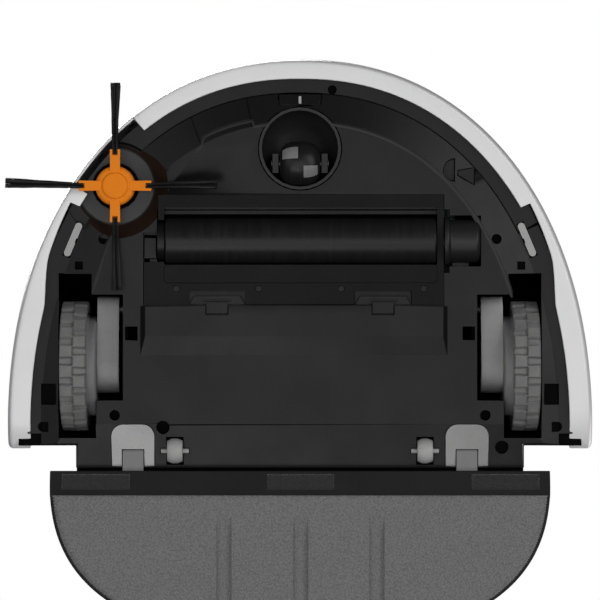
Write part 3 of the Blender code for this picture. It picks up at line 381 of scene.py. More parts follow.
# Name, colour, lighter grain, darker blotches, roughness, worn edges, specular level, metallic
PLASTICS = {
    "case": ("black_case", (0.0062, 0.0062, 0.0064), (0.0095, 0.0095, 0.0098), (0.0050, 0.0050, 0.0052), 0.34,
             (0.022, 0.022, 0.0224), 0.20),
    "frame": ("frame_case", 0.0036, 0.0056, 0.003, 0.36, 0.016, 0.105),
    # cup: painted light, the case plastic made lighter to stand in for light on the shaded caster cup; the
    # roller gear housing shares it
    "cup": ("case_painted_lit", 0.014, 0.018, 0.010, 0.36, 0.03),
    "joint": ("joint_line", 0.0012, 0.0018, 0.001, 0.8, None, 0.02),
    # ridge: case plastic painted lighter, a painted highlight along the ridge bead
    "ridge": ("ridge_painted_highlight", (0.022, 0.022, 0.0224), (0.028, 0.028, 0.0284), (0.018, 0.018, 0.0183), 0.34,
              0.030, 0.2),
    "strip": ("mop_strip", 0.013, 0.020, 0.010, 0.60, 0.036, 0.2),
    "gearbox": ("gearbox_plastic", (0.31, 0.31, 0.308), (0.36, 0.36, 0.357), (0.27, 0.27, 0.268), 0.42, 0.46),
    "grey": ("grey_plastic", (0.180, 0.180, 0.179), (0.215, 0.215, 0.213), (0.155, 0.155, 0.154), 0.42, 0.31),
    "light": ("light_plastic", (0.36, 0.36, 0.355), (0.42, 0.42, 0.415), (0.32, 0.32, 0.316), 0.40, 0.50),
    "latch": ("latch_plastic", (0.20, 0.20, 0.198), (0.22, 0.22, 0.218), (0.185, 0.185, 0.183), 0.22,
              0.32, 0.6, 0.15),
    "screw": ("blackened_screw", 0.020, 0.045, 0.012, 0.38, 0.10, 0.6),
    "orange": ("orange_plastic", (0.83, 0.226, 0.012), (0.88, 0.26, 0.020), (0.77, 0.205, 0.010), 0.42,
               (0.92, 0.36, 0.06), 0.05),
}


def make_finishes():
    finishes = {key: grained_plastic(*plastic).surface for key, plastic in PLASTICS.items()}
    finishes.update({
        "base": base_case(),
        "white": white_shell(),
        "cover": white_shell("white_cover", True),
        "gloss": gloss_black(),
        "roller": satin_roller(),
        "tread": tread_rubber(),
        "steel": brushed_steel(),
        "board": circuit_board(),
        "pad": fabric("mop_fabric", 0.185, 0.27, 0.118),
        "hook_tape": fabric("hook_tape", 0.016, 0.034, 0.008, 0.25, 1.3),
        "bristle": bristle(),
        "smoke": smoke("smoke_plastic", (0.07, 0.07, 0.075), 0.12),
        "lens": smoke("lens", (0.03, 0.03, 0.035), 0.05),
        "paper": filter_paper(),
    })
    return finishes


# Mesh building -----------------------------------------------

def weigh_edges(mesh, width, angle):
    """Weight each sharp edge by how much of the rounding its neighbours leave room for."""
    layer = mesh.edges.layers.float.new("bevel_weight_edge")
    for edge in mesh.edges:
        if edge.is_manifold and edge.calc_face_angle(0.0) > math.radians(angle):
            room = min(other.calc_length() for vertex in edge.verts for other in vertex.link_edges)
            edge[layer] = min(1.0, EDGE_ROOM * room / width)


def piece(name, mesh, body, finish, stands_for=(), smooth_angle=32.0, edge=0.0, edge_angle=30.0):
    """Turn a bmesh in millimetres into a finished piece that rides on a body.

    With an edge width its sharp edges are rounded, and its open faces stay flat in the shading.
    """
    bmesh.ops.recalc_face_normals(mesh, faces=mesh.faces)
    if edge:
        weigh_edges(mesh, edge, edge_angle)
    bmesh.ops.scale(mesh, vec=(MM, MM, MM), verts=mesh.verts)
    data = bpy.data.meshes.new(name)
    mesh.to_mesh(data)
    mesh.free()
    data.shade_smooth()
    data.set_sharp_from_angle(angle=math.radians(smooth_angle))
    thing = bpy.data.objects.new(name, data)
    bpy.context.scene.collection.objects.link(thing)
    data.materials.append(finish)
    if edge:
        bevel = thing.modifiers.new("edges", "BEVEL")
        bevel.limit_method = "WEIGHT"
        bevel.offset_type = "ABSOLUTE"
        bevel.width = edge * MM
        bevel.segments = 2
        bevel.use_clamp_overlap = False
        normals = thing.modifiers.new("normals", "WEIGHTED_NORMAL")
        normals.keep_sharp = True
        normals.weight = 80
    if stands_for:
        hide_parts(*stands_for)
    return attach(thing, body)


def cad_mesh(node):
    """A CAD node's mesh in millimetres, with its flat faces made whole again."""
    mesh = bmesh.new()
    mesh.from_mesh(frame["nodes"][node].data)
    bmesh.ops.remove_doubles(mesh, verts=mesh.verts, dist=2e-6)
    bmesh.ops.dissolve_limit(mesh, angle_limit=math.radians(0.7), verts=mesh.verts, edges=mesh.edges)
    bmesh.ops.scale(mesh, vec=(1 / MM, 1 / MM, 1 / MM), verts=mesh.verts)
    return mesh


def refined(node, finish, width=0.35, angle=30.0):
    """A CAD node's shape with rounded edges, shown in its place."""
    body = frame["nodes"][node]["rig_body"]
    piece("fine_" + node, cad_mesh(node), body, finish, (node,), 50.0, width, angle)


def loft(sections, capped=True, looped=False):
    """Skin through rings of points with equal counts; a looped loft joins its last ring to its first."""
    mesh = bmesh.new()
    rings = [[mesh.verts.new(point) for point in section] for section in sections]
    count = len(rings[0])
    pairs = list(zip(rings, rings[1:]))
    if looped:
        pairs.append((rings[-1], rings[0]))
    for lower, upper in pairs:
        for i in range(count):
            j = (i + 1) % count
            mesh.faces.new((lower[i], lower[j], upper[j], upper[i]))
    if capped and not looped:
        mesh.faces.new(rings[0])
        mesh.faces.new(rings[-1])
    return mesh


def prism(outline, low, high):
    return loft([[(x, y, z) for x, y in outline] for z in (low, high)])


def block(x, y, low, high):
    return prism([(x[0], y[0]), (x[1], y[0]), (x[1], y[1]), (x[0], y[1])], low, high)


def disc(profile, centre, segments=64):
    """Solid of (radius, height) pairs turned about a vertical axis, with flat ends."""
    rings = []
    for radius, height in profile:
        angles = [2 * math.pi * i / segments for i in range(segments)]
        rings.append([Vector(centre) + Vector((radius * math.cos(a), radius * math.sin(a), height))
                      for a in angles])
    return loft(rings)


def slab(lower, upper):
    """Solid between two grids of points with the same rows and columns."""
    mesh = bmesh.new()
    grids = [[[mesh.verts.new(point) for point in row] for row in grid] for grid in (lower, upper)]
    for grid in grids:
        for a, b in zip(grid, grid[1:]):
            for i in range(len(a) - 1):
                mesh.faces.new((a[i], a[i + 1], b[i + 1], b[i]))
    rims = [grid[0] + [row[-1] for row in grid[1:-1]] + grid[-1][::-1] + [row[0] for row in grid[-2:0:-1]]
            for grid in grids]
    for i in range(len(rims[0])):
        j = (i + 1) % len(rims[0])
        mesh.faces.new((rims[0][i], rims[0][j], rims[1][j], rims[1][i]))
    return mesh


def combined(mesh, operation, *tools):
    """The first bmesh after an exact Boolean with each tool; all are in millimetres."""
    def made(source, name):
        bmesh.ops.recalc_face_normals(source, faces=source.faces)
        data = bpy.data.meshes.new(name)
        source.to_mesh(data)
        source.free()
        thing = bpy.data.objects.new(name, data)
        bpy.context.scene.collection.objects.link(thing)
        return thing
    target = made(mesh, "target")
    cutters = [made(tool, "tool") for tool in tools]
    for cutter in cutters:
        modifier = target.modifiers.new(operation, "BOOLEAN")
        modifier.operation = operation
        modifier.object = cutter
    view = bpy.context.evaluated_depsgraph_get()
    data = bpy.data.meshes.new_from_object(target.evaluated_get(view))
    result = bmesh.new()
    result.from_mesh(data)
    for thing in [target, *cutters]:
        bpy.data.objects.remove(thing)
    return result


def front_point(turn, inset):
    """Point on the bumper's plan curve, from the left ear (0) round the front to the right ear (1)."""
    angle = math.pi * (1 + turn)
    c = math.cos(angle)
    s = math.sin(angle)
    x = math.copysign(HALF_WIDTH * abs(c) ** (2 / FRONT_POWER), c)
    y = math.copysign(FRONT_DEPTH * abs(s) ** (2 / FRONT_POWER), s)
    nx = math.copysign(abs(x / HALF_WIDTH) ** (FRONT_POWER - 1) / HALF_WIDTH, x)
    ny = math.copysign(abs(y / FRONT_DEPTH) ** (FRONT_POWER - 1) / FRONT_DEPTH, y)
    length = math.hypot(nx, ny)
    return x - inset * nx / length, FRONT_CENTRE_Y + y - inset * ny / length


# Bumper ------------------------------------------------------

def in_cutout(x, y):
    """Whether a place on the bumper is beside the side brush, where its lower lip is cut away."""
    return x < 0 and BRUSH_CUTOUT_Y[0] < y < BRUSH_CUTOUT_Y[1]


def lip_width(turn):
    """Inset of the lower lip's inner edge, which steps where a pocket or the side brush needs room."""
    x, y = front_point(turn, 0.0)
    if in_cutout(x, y):
        return CUTOUT_SKIN
    if y < LIP_STEPS[0][0]:
        return LIP_FRONT
    for (y0, width0), (y1, width1) in zip(LIP_STEPS, LIP_STEPS[1:]):
        if y < y1:
            return width0 + (width1 - width0) * (y - y0) / (y1 - y0)
    return LIP_STEPS[-1][1]


def ear_upturn(y, z):
    """How much the bumper's lower edge curves up near the end of an ear."""
    past = min(max(0.0, y - EAR_TURN_Y), EAR_TURN_R)
    rise = EAR_TURN_R - math.sqrt(EAR_TURN_R ** 2 - past ** 2)
    return rise * min(1.0, max(0.0, (34.0 - z) / 15.0))


def bumper_section(turn, square_y=None, corner=0.0):
    """Ring round the wall and lip; a corner pulls it in from both sides at the end of an ear."""
    lip = lip_width(turn)
    edge = [(lip, 13.3), (5.4, 13.1), (3.6, 13.9), (2.6, 15.6), (1.8, 19.0)]
    inner = [(4.2, 18.5), (4.6, 15.3), (lip, 15.2)]
    if lip < 5.0:
        edge = [(lip, 15.4), (3.8, 15.2), (3.2, 15.2), (2.6, 15.8), (1.8, 19.0)]
        inner = [(3.4, 18.5), (4.1, 16.6), (lip, 16.2)]
    wall = [(1.4, 23.0), (1.1, 30.0), (0.8, 42.0), (0.5, 51.0), (0.6, 60.0), (1.2, 70.0), (1.9, 76.4),
            (2.4, 78.0), (3.5, 78.2), (4.7, 78.0), (2.9, 60.0), (2.6, 40.0)]
    ring = []
    for inset, z in edge + wall + inner:
        if corner and inset < 4.0:
            inset += corner * (1.0 - inset / 4.0)
        elif corner and inset > 6.0:
            inset -= corner * 0.4
        x, y = front_point(turn, inset)
        y = y if square_y is None else square_y
        ring.append((x, y, z + ear_upturn(y, z)))
    return ring


def bumper_shell(finish):
    """White wall and turned-in lip, swept finely round the front."""
    count = 132
    turns = [i / count for i in range(count + 1)]
    steps = []
    for a, b in zip(turns, turns[1:]):
        steps.append(a)
        if abs(lip_width(a) - lip_width(b)) > 1.0:
            low, high = a, b
            for _ in range(12):
                middle = (low + high) / 2
                same = abs(lip_width(middle) - lip_width(a)) < abs(lip_width(middle) - lip_width(b))
                low, high = (middle, high) if same else (low, middle)
            steps += [low, high + 0.0012]
    steps.append(1.0)
    steps = sorted(set(steps))
    ear = [(EAR_END_Y - EAR_CORNER * (1 - math.sin(a)), EAR_CORNER * (1 - math.cos(a)))
           for a in (0.0, 0.4, 0.8, 1.2, math.pi / 2)]
    rings = [bumper_section(0.0, y, corner) for y, corner in reversed(ear)]
    rings += [bumper_section(turn) for turn in steps]
    rings += [bumper_section(1.0, y, corner) for y, corner in ear]
    piece("bumper_wall", loft(rings), "bumper", finish, ("bumper_shell",), 32.0, 0.4)


def bumper_ribs(finish):
    """Stiffening ribs inside the bumper, seen where its lip is cut away for the brush."""
    for i, turn in enumerate((0.262, 0.285, 0.308, 0.331, 0.352)):
        outline = [front_point(turn - 0.0035, 2.9), front_point(turn + 0.0035, 2.9),
                   front_point(turn + 0.0035, 5.4), front_point(turn - 0.0035, 5.4)]
        piece(f"bumper_rib_{i + 1}", prism(outline, 16.2, 30.0), "bumper", finish, edge=0.15)


# Base case ---------------------------------------------------

def wedge_z(inset):
    """Height of the underside at an inset between the seam and the ridge."""
    share = (RIDGE - inset) / (RIDGE - SEAM)
    return FLAT_Z + (RIM_Z - FLAT_Z) * min(max(share, 0.0), 1.0)


def panel_joints(finish):
    """Joint lines of the panel at the front left, which cross the sloping border."""
    section = ((-1, -0.05), (1, -0.05), (1, 0.6), (-1, 0.6))
    for number, turns in enumerate(((0.371, 0.366), (0.443, 0.443))):
        ends = [Vector((*front_point(turn, inset), wedge_z(inset)))
                for turn, inset in zip(turns, (SEAM, RIDGE))]
        across = Vector((ends[1].y - ends[0].y, ends[0].x - ends[1].x, 0.0)).normalized() * JOINT_HALF
        rings = [[end + across * side + Vector((0, 0, lift)) for side, lift in section] for end in ends]
        piece(f"panel_joint_{number + 1}", loft(rings), "chassis", finish)


def ridge_lines(finish):
    """Soft moulded bead where the flat underside meets its sloping edge; its lighter finish is a painted
    highlight.
    """
    runs = (((0.536, RIDGE), (0.60, RIDGE), (0.66, RIDGE), (0.72, RIDGE), (0.78, RIDGE), (0.83, RIDGE),
             (0.876, RIDGE)),
            ((0.466, RIDGE), (0.446, RIDGE), (0.4445, 33.8), (0.42, 33.6), (0.395, 33.6), (0.374, 33.8),
             (0.367, 37.6), (0.353, 39.6)),
            ((0.202, 36.8), (0.183, 36.8), (0.156, 38.6), (0.13, 39.0)))
    section = ((-1.5, 0.25), (-0.8, -0.10), (0.0, -0.24), (0.8, -0.10), (1.5, 0.25), (0.0, 0.8))
    for number, run in enumerate(runs):
        stations = [run[0]]
        for (t0, i0), (t1, i1) in zip(run, run[1:]):
            count = max(1, int(abs(t1 - t0) / 0.006))
            for k in range(1, count + 1):
                share = k / count
                stations.append((t0 + (t1 - t0) * share, i0 + (i1 - i0) * share))
        places = [Vector(front_point(turn, inset)) for turn, inset in stations]
        rings = []
        for k, (place, (turn, inset)) in enumerate(zip(places, stations)):
            ahead = places[min(k + 1, len(places) - 1)] - places[max(k - 1, 0)]
            outward = Vector((ahead.y, -ahead.x)).normalized()
            if outward.dot(place - Vector((0.0, FRONT_CENTRE_Y))) < 0:
                outward = -outward
            shrink = 0.35 if k in (0, len(places) - 1) else 1.0
            rings.append([(place.x + outward.x * u * shrink, place.y + outward.y * u * shrink,
                           wedge_z(inset - u * shrink) + v) for u, v in section])
        piece(f"ridge_bead_{number + 1}", loft(rings), "chassis", finish, (), 80.0)


def leaning(points, centre, side):
    """Points given as (along, across) a charging contact, whose length leans with the case's edge."""
    lean = Vector((side * 0.39, 0.92)).normalized()
    return [(centre.x + lean.x * a + lean.y * b, centre.y + lean.y * a - lean.x * b) for a, b in points]


def base_skirt(side, word, finish):
    """Flat border of the case outside the seam, behind the front rim."""
    first, last = ((0.0, 0.247), (0.817, 1.0))[side > 0]
    turns = [first + (last - first) * i / 60 for i in range(61)]
    border = []
    for turn in turns:
        past = min(1.0, max(0.0, (front_point(turn, 0.0)[1] - 24.0) / 8.0))
        border.append(front_point(turn, 8.6 + 4.4 * past))
    border += [front_point(turn, SEAM + 0.7) for turn in turns[::-1]]
    skirt = prism(border, RIM_Z, RIM_Z + 2.0)
    well_x = sorted((side * 95.0, side * 134.6))
    hole_x = sorted((side * 136.0, side * 144.4))
    tools = [block(well_x, (-44.0, 48.2), 10.0, 30.0), block(hole_x, (17.6, 29.4), 10.0, 30.0),
             disc([(2.8, 10.0), (2.8, 30.0)], (side * 143.4, 41.6, 0), 32)]
    low, high = box_mm("charge_contact_" + word)
    middle = (low + high) / 2
    corners = ((-10.4, -2.35), (10.4, -2.35), (10.4, 2.35), (-10.4, 2.35))
    tools.append(prism(leaning(corners, middle, side), 10.0, 30.0))
    if side < 0:
        tools.append(disc([(29.9, 4.0), (29.9, 30.0)], brush_centre(), 72))
    skirt = combined(skirt, "DIFFERENCE", *tools)
    piece("base_skirt_" + word, skirt, "chassis", finish, (), 35.0, 0.25)


# Drive wheels ------------------------------------------------

def tyre_sections(radius, inner, width):
    """Rings of (angle, radius, along) round a tyre whose two rows of lugs are staggered by half a pitch."""
    rows = ((0.0, 0.02, 0.48), (0.5, 0.98, 0.52))       # phase, outer edge and inner edge along the width
    sections = []
    for k in range(LUGS):
        for phase, _, _ in rows:
            for edge in (phase, phase + GROOVE_SHARE):
                for wall in (-WALL_SHARE, WALL_SHARE):
                    sections.append((k, edge, wall))
    rings = []
    for k, edge, wall in sections:
        at = edge + wall
        ring = [(k + at, inner, 0.05), (k + at, radius - 2.4, 0.0)]
        middle = []
        for phase, outer, inward in rows:
            in_groove = phase + WALL_SHARE - 1e-6 < at < phase + GROOVE_SHARE - WALL_SHARE + 1e-6
            height = radius - LUG_DEPTH if in_groove else radius
            own = abs(edge - phase) < 1e-6 or abs(edge - phase - GROOVE_SHARE) < 1e-6
            lean = TAPER_SHARE * (1 if abs(edge - phase) < 1e-6 else -1) if own else 0.0
            pair = [(k + at + lean, height - 0.15, outer), (k + at, height, inward)]
            middle += pair if phase == 0.0 else pair[::-1]
        ring += middle + [(k + at, radius - 2.4, 1.0), (k + at, inner, 0.95)]
        rings.append([(2 * math.pi * turn / LUGS, r, width * share) for turn, r, share in ring])
    return rings


def tyre(side, word, finish):
    low, high = box_mm("tyre_" + word)
    centre = (low + high) / 2
    radius = (high.z - low.z) / 2
    inner_low, inner_high = box_mm("wheel_hub_" + word)
    start = low.x if side > 0 else high.x
    inner = (inner_high.z - inner_low.z) / 2 + 0.4
    rings = []
    for ring in tyre_sections(radius, inner, high.x - low.x):
        rings.append([(start + side * along, centre.y + r * math.cos(angle), centre.z + r * math.sin(angle))
                      for angle, r, along in ring])
    piece("tread_" + word, loft(rings, looped=True), "wheel_" + word, finish,
          ("tyre_" + word,), 30.0, 0.22, 28.0)


def gearbox_mesh(side, word):
    """The CAD gearbox, with its body moved outward to meet the wheel's flange."""
    mesh = cad_mesh("wheel_gearbox_" + word)
    for vertex in mesh.verts:
        if vertex.co.x * side < GEARBOX_OUTER_X:
            vertex.co.x += side * GEARBOX_SHIFT
    return mesh


def gearbox(side, word, finish):
    piece("fine_gearbox_" + word, gearbox_mesh(side, word), "arm_" + word, finish,
          ("wheel_gearbox_" + word,), 50.0, 0.80, 35.0)


def gearbox_seam(side, word, finish):
    """Raised joint band that runs round the gearbox."""
    mesh = gearbox_mesh(side, word)
    bmesh.ops.triangulate(mesh, faces=mesh.faces)
    mesh.normal_update()
    centre = Vector((0, -8.4, 34.5))
    for vertex in mesh.verts:
        away = vertex.co - centre
        vertex.co += Vector((0, 0, math.copysign(0.35, away.z)))
    for y, normal in ((-11.0, -1), (-5.9, 1)):
        geometry_in = mesh.verts[:] + mesh.edges[:] + mesh.faces[:]
        made = bmesh.ops.bisect_plane(mesh, geom=geometry_in, plane_co=(0, y, 0), plane_no=(0, normal, 0),
                                      clear_outer=True)
        edges = [e for e in made["geom_cut"] if isinstance(e, bmesh.types.BMEdge)]
        bmesh.ops.holes_fill(mesh, edges=edges)
    piece("gearbox_seam_" + word, mesh, "arm_" + word, finish, edge=0.15)


# Side brush --------------------------------------------------

def brush_centre():
    low, high = box_mm("side_brush_hub")
    return Vector(((low.x + high.x) / 2, (low.y + high.y) / 2, 0.0))


def brush_hub(finish):
    """Domed hub with four arms that end in a fork round their tuft."""
    low, high = box_mm("side_brush_hub")
    centre = brush_centre()
    bottom = low.z
    top = high.z
    reach = (high.x - low.x) / 2
    profile = [(4.2, bottom), (6.4, bottom + 0.1), (7.1, bottom + 0.5), (7.4, bottom + 1.3),
               (8.6, bottom + 1.5), (10.0, bottom + 2.0), (10.8, bottom + 3.0), (11.1, bottom + 4.4),
               (11.1, top), (2.4, top)]
    hub = disc(profile, centre)
    arms = []
    forks = []
    for quarter in range(4):
        turn = Matrix.Rotation(math.pi / 2 * quarter, 4, "Z")
        arm = loft([[(x, -half, below), (x, half, below), (x, half, above), (x, -half, above)]
                    for x, half, below, above in ((8.0, 2.7, bottom + 1.0, bottom + 3.4),
                                                  (reach, 2.9, bottom + 0.75, bottom + 3.2))])
        fork = block((reach - 3.4, reach + 1.0), (-1.5, 1.5), bottom - 1.0, bottom + 2.6)
        for mesh, group in ((arm, arms), (fork, forks)):
            bmesh.ops.transform(mesh, matrix=Matrix.Translation(centre) @ turn, verts=mesh.verts)
            group.append(mesh)
    hub = combined(combined(hub, "UNION", *arms), "DIFFERENCE", *forks)
    piece("brush_spider", hub, "side_brush", finish, ("side_brush_hub",),
          40.0, 0.35, 35.0)


def strand(mesh, draw, quarter, stance):
    """One nylon strand, at its own place in the tuft and with its own stray."""
    spot = math.sqrt(draw.random())
    angle = 2 * math.pi * draw.random()
    length = 1.0 - 0.05 * draw.random() ** 2
    wander = draw.normal(0.0, 0.13, (len(TUFT_PATH), 2))
    splay = draw.normal(1.0, 0.07)
    rings = []
    for k, (reach, half_width, z, half_height) in enumerate(TUFT_PATH):
        loose = k / (len(TUFT_PATH) - 1)
        if loose == 1.0:
            reach = TUFT_REACH[quarter] * length
        across = spot * math.cos(angle) * half_width * splay + wander[k, 0] * loose
        across += TUFT_LEAN[quarter] * (reach - TUFT_PATH[0][0])
        height = max(0.35, z + spot * math.sin(angle) * half_height + wander[k, 1] * loose * 0.5)
        size = STRAND_R * (1.0 - 0.35 * loose)
        corners = [math.pi / 2 * side + angle for side in range(4)]
        section = [Vector((reach, across + math.cos(a) * size, height + math.sin(a) * size))
                   for a in corners]
        rings.append([mesh.verts.new(stance @ point) for point in section])
    for a, b in zip(rings, rings[1:]):
        for i in range(4):
            j = (i + 1) % 4
            mesh.faces.new((a[i], a[j], b[j], b[i]))
    mesh.faces.new(rings[0])
    mesh.faces.new(rings[-1])


def tuft(quarter, word, finish):
    """A bundle of separate strands that leaves the arm tight and spreads towards a ragged tip."""
    draw = np.random.default_rng(40 + quarter)
    stance = Matrix.Translation(brush_centre()) @ Matrix.Rotation(math.pi / 2 * quarter, 4, "Z")
    mesh = bmesh.new()
    for _ in range(STRANDS):
        strand(mesh, draw, quarter, stance)
    piece("bristles_" + word, mesh, "side_brush", finish, ("brush_tuft_" + word,), 80.0)


# Caster ------------------------------------------------------

def encoder_patches(finish):
    """Pale patches let into the caster wheel, which its sensor counts."""
    low, high = box_mm("caster_wheel")
    centre = (low + high) / 2
    half = (high.x - low.x) / 2
    radius = (high.z - low.z) / 2

    def on_wheel(share, degrees, lift):
        r = 6.0 + (radius - 6.0) * (1 - abs(share) ** 2.6) ** 0.5 + lift
        angle = math.radians(degrees)
        return half * share, centre.y + r * math.cos(angle), centre.z + r * math.sin(angle)

    spots = ((-0.88, -0.10, 225, 259), (0.18, 0.88, 278, 311),
             (-0.88, -0.10, 45, 79), (0.18, 0.88, 98, 131))
    for number, (x_low, x_high, first, last) in enumerate(spots):
        shares = np.linspace(x_low, x_high, 9)
        turns = np.linspace(first, last, 9)
        inner, outer = ([[on_wheel(share, turn, lift) for turn in turns] for share in shares]
                        for lift in (-0.6, 0.05))
        piece(f"encoder_patch_{number + 1}", slab(inner, outer), "caster_roller", finish,
              (), 45.0)


# Roller frame ------------------------------------------------

def guard_screws(finish):
    """Four countersunk screws with a six-lobed socket."""
    low, _ = box_mm("roller_guard")
    for number, x in enumerate((-68.8, -22.9, 22.9, 68.8)):
        centre = Vector((x, -35.4, low.z))
        head = disc([(0.9, 1.5), (1.7, 1.45), (1.75, 0.55), (1.6, 0.3), (1.2, 0.25)], centre, 32)
        socket = []
        for i in range(36):
            angle = 2 * math.pi * i / 36
            r = 0.75 + 0.13 * math.cos(6 * angle)
            socket.append((x + r * math.cos(angle), centre.y + r * math.sin(angle)))
        head = combined(head, "DIFFERENCE", prism(socket, low.z - 1.0, low.z + 1.1))
        piece(f"guard_screw_{number + 1}", head, "guard", finish)


# Charging contacts -------------------------------------------

def contact_bar(side, word, finish):
    """Plated bar with round ends and a small notch in its inner edge."""
    low, high = box_mm("charge_contact_" + word)
    half_width = 1.95
    half_length = 10.0
    points = []
    for end in (1, -1):
        for i in range(13):
            angle = math.pi * i / 12
            along = end * (half_length - half_width + half_width * math.sin(angle))
            points.append((along, end * half_width * math.cos(angle)))
    notched = []
    for (a0, w0), (a1, w1) in zip(points, points[1:] + points[:1]):
        notched.append((a0, w0))
        if w0 * w1 > 0 and abs(a1 - a0) > 5 and w0 * side < 0:
            step = math.copysign(1.0, a1 - a0)
            notched += [(-1.6 * step, w0), (-1.2 * step, w0 * 0.72),
                        (1.2 * step, w0 * 0.72), (1.6 * step, w0)]
    bar = prism(leaning(notched, (low + high) / 2, side), low.z, high.z)
    piece("contact_bar_" + word, bar, "chassis", finish,
          ("charge_contact_" + word,), edge=0.4)


# Mopping module ----------------------------------------------

def mop_half_width(y, inset, module):
    """Half the width of the module at a distance back."""
    low, high = module
    depth = high.y - low.y - inset
    share = min(1.0, max(0.0, (y - low.y) / depth))
    return (high.x - inset) * (1.0 - share ** 2.6) ** (1 / 2.6)


def mop_outline(inset, start, module, steps=64, teeth=0.0):
    """Closed outline of the module behind start, with a zigzag edge if teeth has a depth."""
    low, high = module
    depth = high.y - low.y - inset
    points = []
    for i in range(steps + 1):
        angle = math.pi / 2 * i / steps
        x = (high.x - inset) * math.cos(angle) ** (2 / 2.6)
        y = low.y + depth * math.sin(angle) ** (2 / 2.6)
        if y > start + 0.4:
            step = teeth * (i % 2)
            points.append((x - step * math.cos(angle), y - step * math.sin(angle)))
    right = [(mop_half_width(start, inset, module), start)] + points
    left = [(-x, y) for x, y in reversed(right) if x > 1e-3]
    return right + left


def plate_box():
    """The plate's own box, without the hooks in front of it."""
    low, high = box_mm("mop_plate")
    return Vector((low.x, 66.0, low.z)), Vector((high.x, high.y, 12.0))


def mop_plate(finish):
    """Plate with a sloping strip in front of the pad."""
    module = plate_box()
    low, high = module
    pad_low, _ = box_mm("mop_cloth")
    plate = prism(mop_outline(0.0, low.y, module), low.z, high.z)
    edge_y = pad_low.y - 0.6
    slope = [(low.y - 3.0, 1.0), (low.y - 3.0, 11.6), (low.y, 10.2), (edge_y, low.z), (edge_y, 1.0)]
    plate = combined(plate, "DIFFERENCE", loft([[(x, y, z) for y, z in slope] for x in (-150.0, 150.0)]))
    piece("mop_carrier", plate, "mop_module", finish, ("mop_plate",), 35.0, 0.5, 25.0)


def mop_hooks(finish):
    """Two hooks that reach forward over the latch plates."""
    low, _ = box_mm("mop_plate")
    for side, word in SIDES:
        x = sorted((side * 87.2, side * 98.7))
        outline = ((76.0, 16.6), (low.y + 1.2, 16.6), (low.y, 15.6), (low.y, 14.0), (low.y + 0.8, 13.2),
                   (69.6, 13.2), (70.6, 11.4), (76.0, 11.4))
        hook = loft([[(v, y, z) for y, z in outline] for v in x])
        piece("mop_hook_" + word, hook, "mop_module", finish, edge=0.4)


def hook_patches(finish):
    """Hook-and-loop patches on the sloping strip."""
    low, _ = plate_box()
    pad_low, _ = box_mm("mop_cloth")
    rise = (low.z - 10.2) / (pad_low.y - 0.6 - low.y)
    draw = np.random.default_rng(5)
    for number, (first, last) in enumerate(HOOK_PATCHES):
        across = np.linspace(first, last, int((last - first) / 0.8) + 1)
        back = np.linspace(67.7, 76.2, 12)
        planes = [10.2 + rise * (y - low.y) for y in back]
        under = [[(x, y, plane + 0.2) for x in across] for y, plane in zip(back, planes)]
        face = []
        for y, plane in zip(back, planes):
            row = []
            for x in across:
                edge = x in (across[0], across[-1]) or y in (back[0], back[-1])
                row.append((x, y, plane - (0.15 if edge else 0.55 + 0.3 * draw.random())))
            face.append(row)
        piece(f"hook_patch_{number + 1}", slab(under, face), "mop_module", finish, (), 60.0)


def stitch_depth(x, y):
    """Depth of the two short stitch lines near each front corner of the pad."""
    depth = 0.0
    for start, end in (((123.0, 95.8), (130.4, 100.6)), ((130.4, 100.6), (128.8, 103.0))):
        a, b, p = Vector(start), Vector(end), Vector((abs(x), y))
        share = min(1.0, max(0.0, (p - a).dot(b - a) / (b - a).length_squared))
        depth += 0.5 * math.exp(-((p - a - (b - a) * share).length / 0.6) ** 2)
    return depth


def pad_depth(x, y, edge):
    """How far the pad's face stands in from its lowest level, at a distance from its edge."""
    depth = 1.7 * max(0.0, 1.0 - edge / 2.6) ** 2 + stitch_depth(x, y)
    for centre in PAD_SLOTS:
        if abs(x - centre) < PAD_SLOT_HALF and y > PAD_SLOT_START:
            depth += 2.9 * min(1.0, (y - PAD_SLOT_START) / PAD_SLOT_RAMP) ** 0.8
    return depth


def pad_points(low, high, module):
    """Points inside the pad: an even grid, and close pairs of rows along each channel's walls."""
    points = []
    across = int((high.x - low.x) / PAD_GRID)
    rows = int((high.y - low.y) / PAD_GRID)
    for j in range(1, rows + 1):
        y = low.y + j * (high.y - low.y) / rows
        reach = mop_half_width(y, PAD_INSET, module) - 1.1
        for i in range(across + 1):
            x = low.x + (high.x - low.x) * (i + 0.5 * (j % 2)) / across
            gap = min(abs(abs(x - centre) - PAD_SLOT_HALF) for centre in PAD_SLOTS)
            near_wall = gap < 0.45 and y > PAD_SLOT_START - 1
            if abs(x) < reach and y < high.y - 1.0 and not near_wall:
                points.append((x, y))
    for centre in PAD_SLOTS:
        for offset in (-0.12, 0.12, 2 * PAD_SLOT_HALF - 0.12, 2 * PAD_SLOT_HALF + 0.12):
            x = centre - PAD_SLOT_HALF + offset
            y = PAD_SLOT_START - 0.6
            while abs(x) < mop_half_width(y, PAD_INSET, module) - 1.2 and y < high.y - 1.0:
                points.append((x, y))
                y += PAD_GRID
    return points + [(x, low.y + 0.45) for x in np.arange(-135.6, 135.6, PAD_GRID)]


def pad_face(ring, points):
    """Flat triangles over the outline and the points, with each point's distance from the outline."""
    edges = [(i, (i + 1) % len(ring)) for i in range(len(ring))]
    corners = [Vector(point) for point in ring + points]
    flat, _, faces, _, _, _ = geometry.delaunay_2d_cdt(corners, edges, [], 1, 1e-4)
    border = np.array(ring)
    places = np.array([(v.x, v.y) for v in flat])
    distances = []
    for part in np.array_split(places, 60):
        gap = part[:, None, :] - border[None, :, :]
        distances.append(np.sqrt((gap ** 2).sum(2)).min(1))
    return flat, faces, np.concatenate(distances)


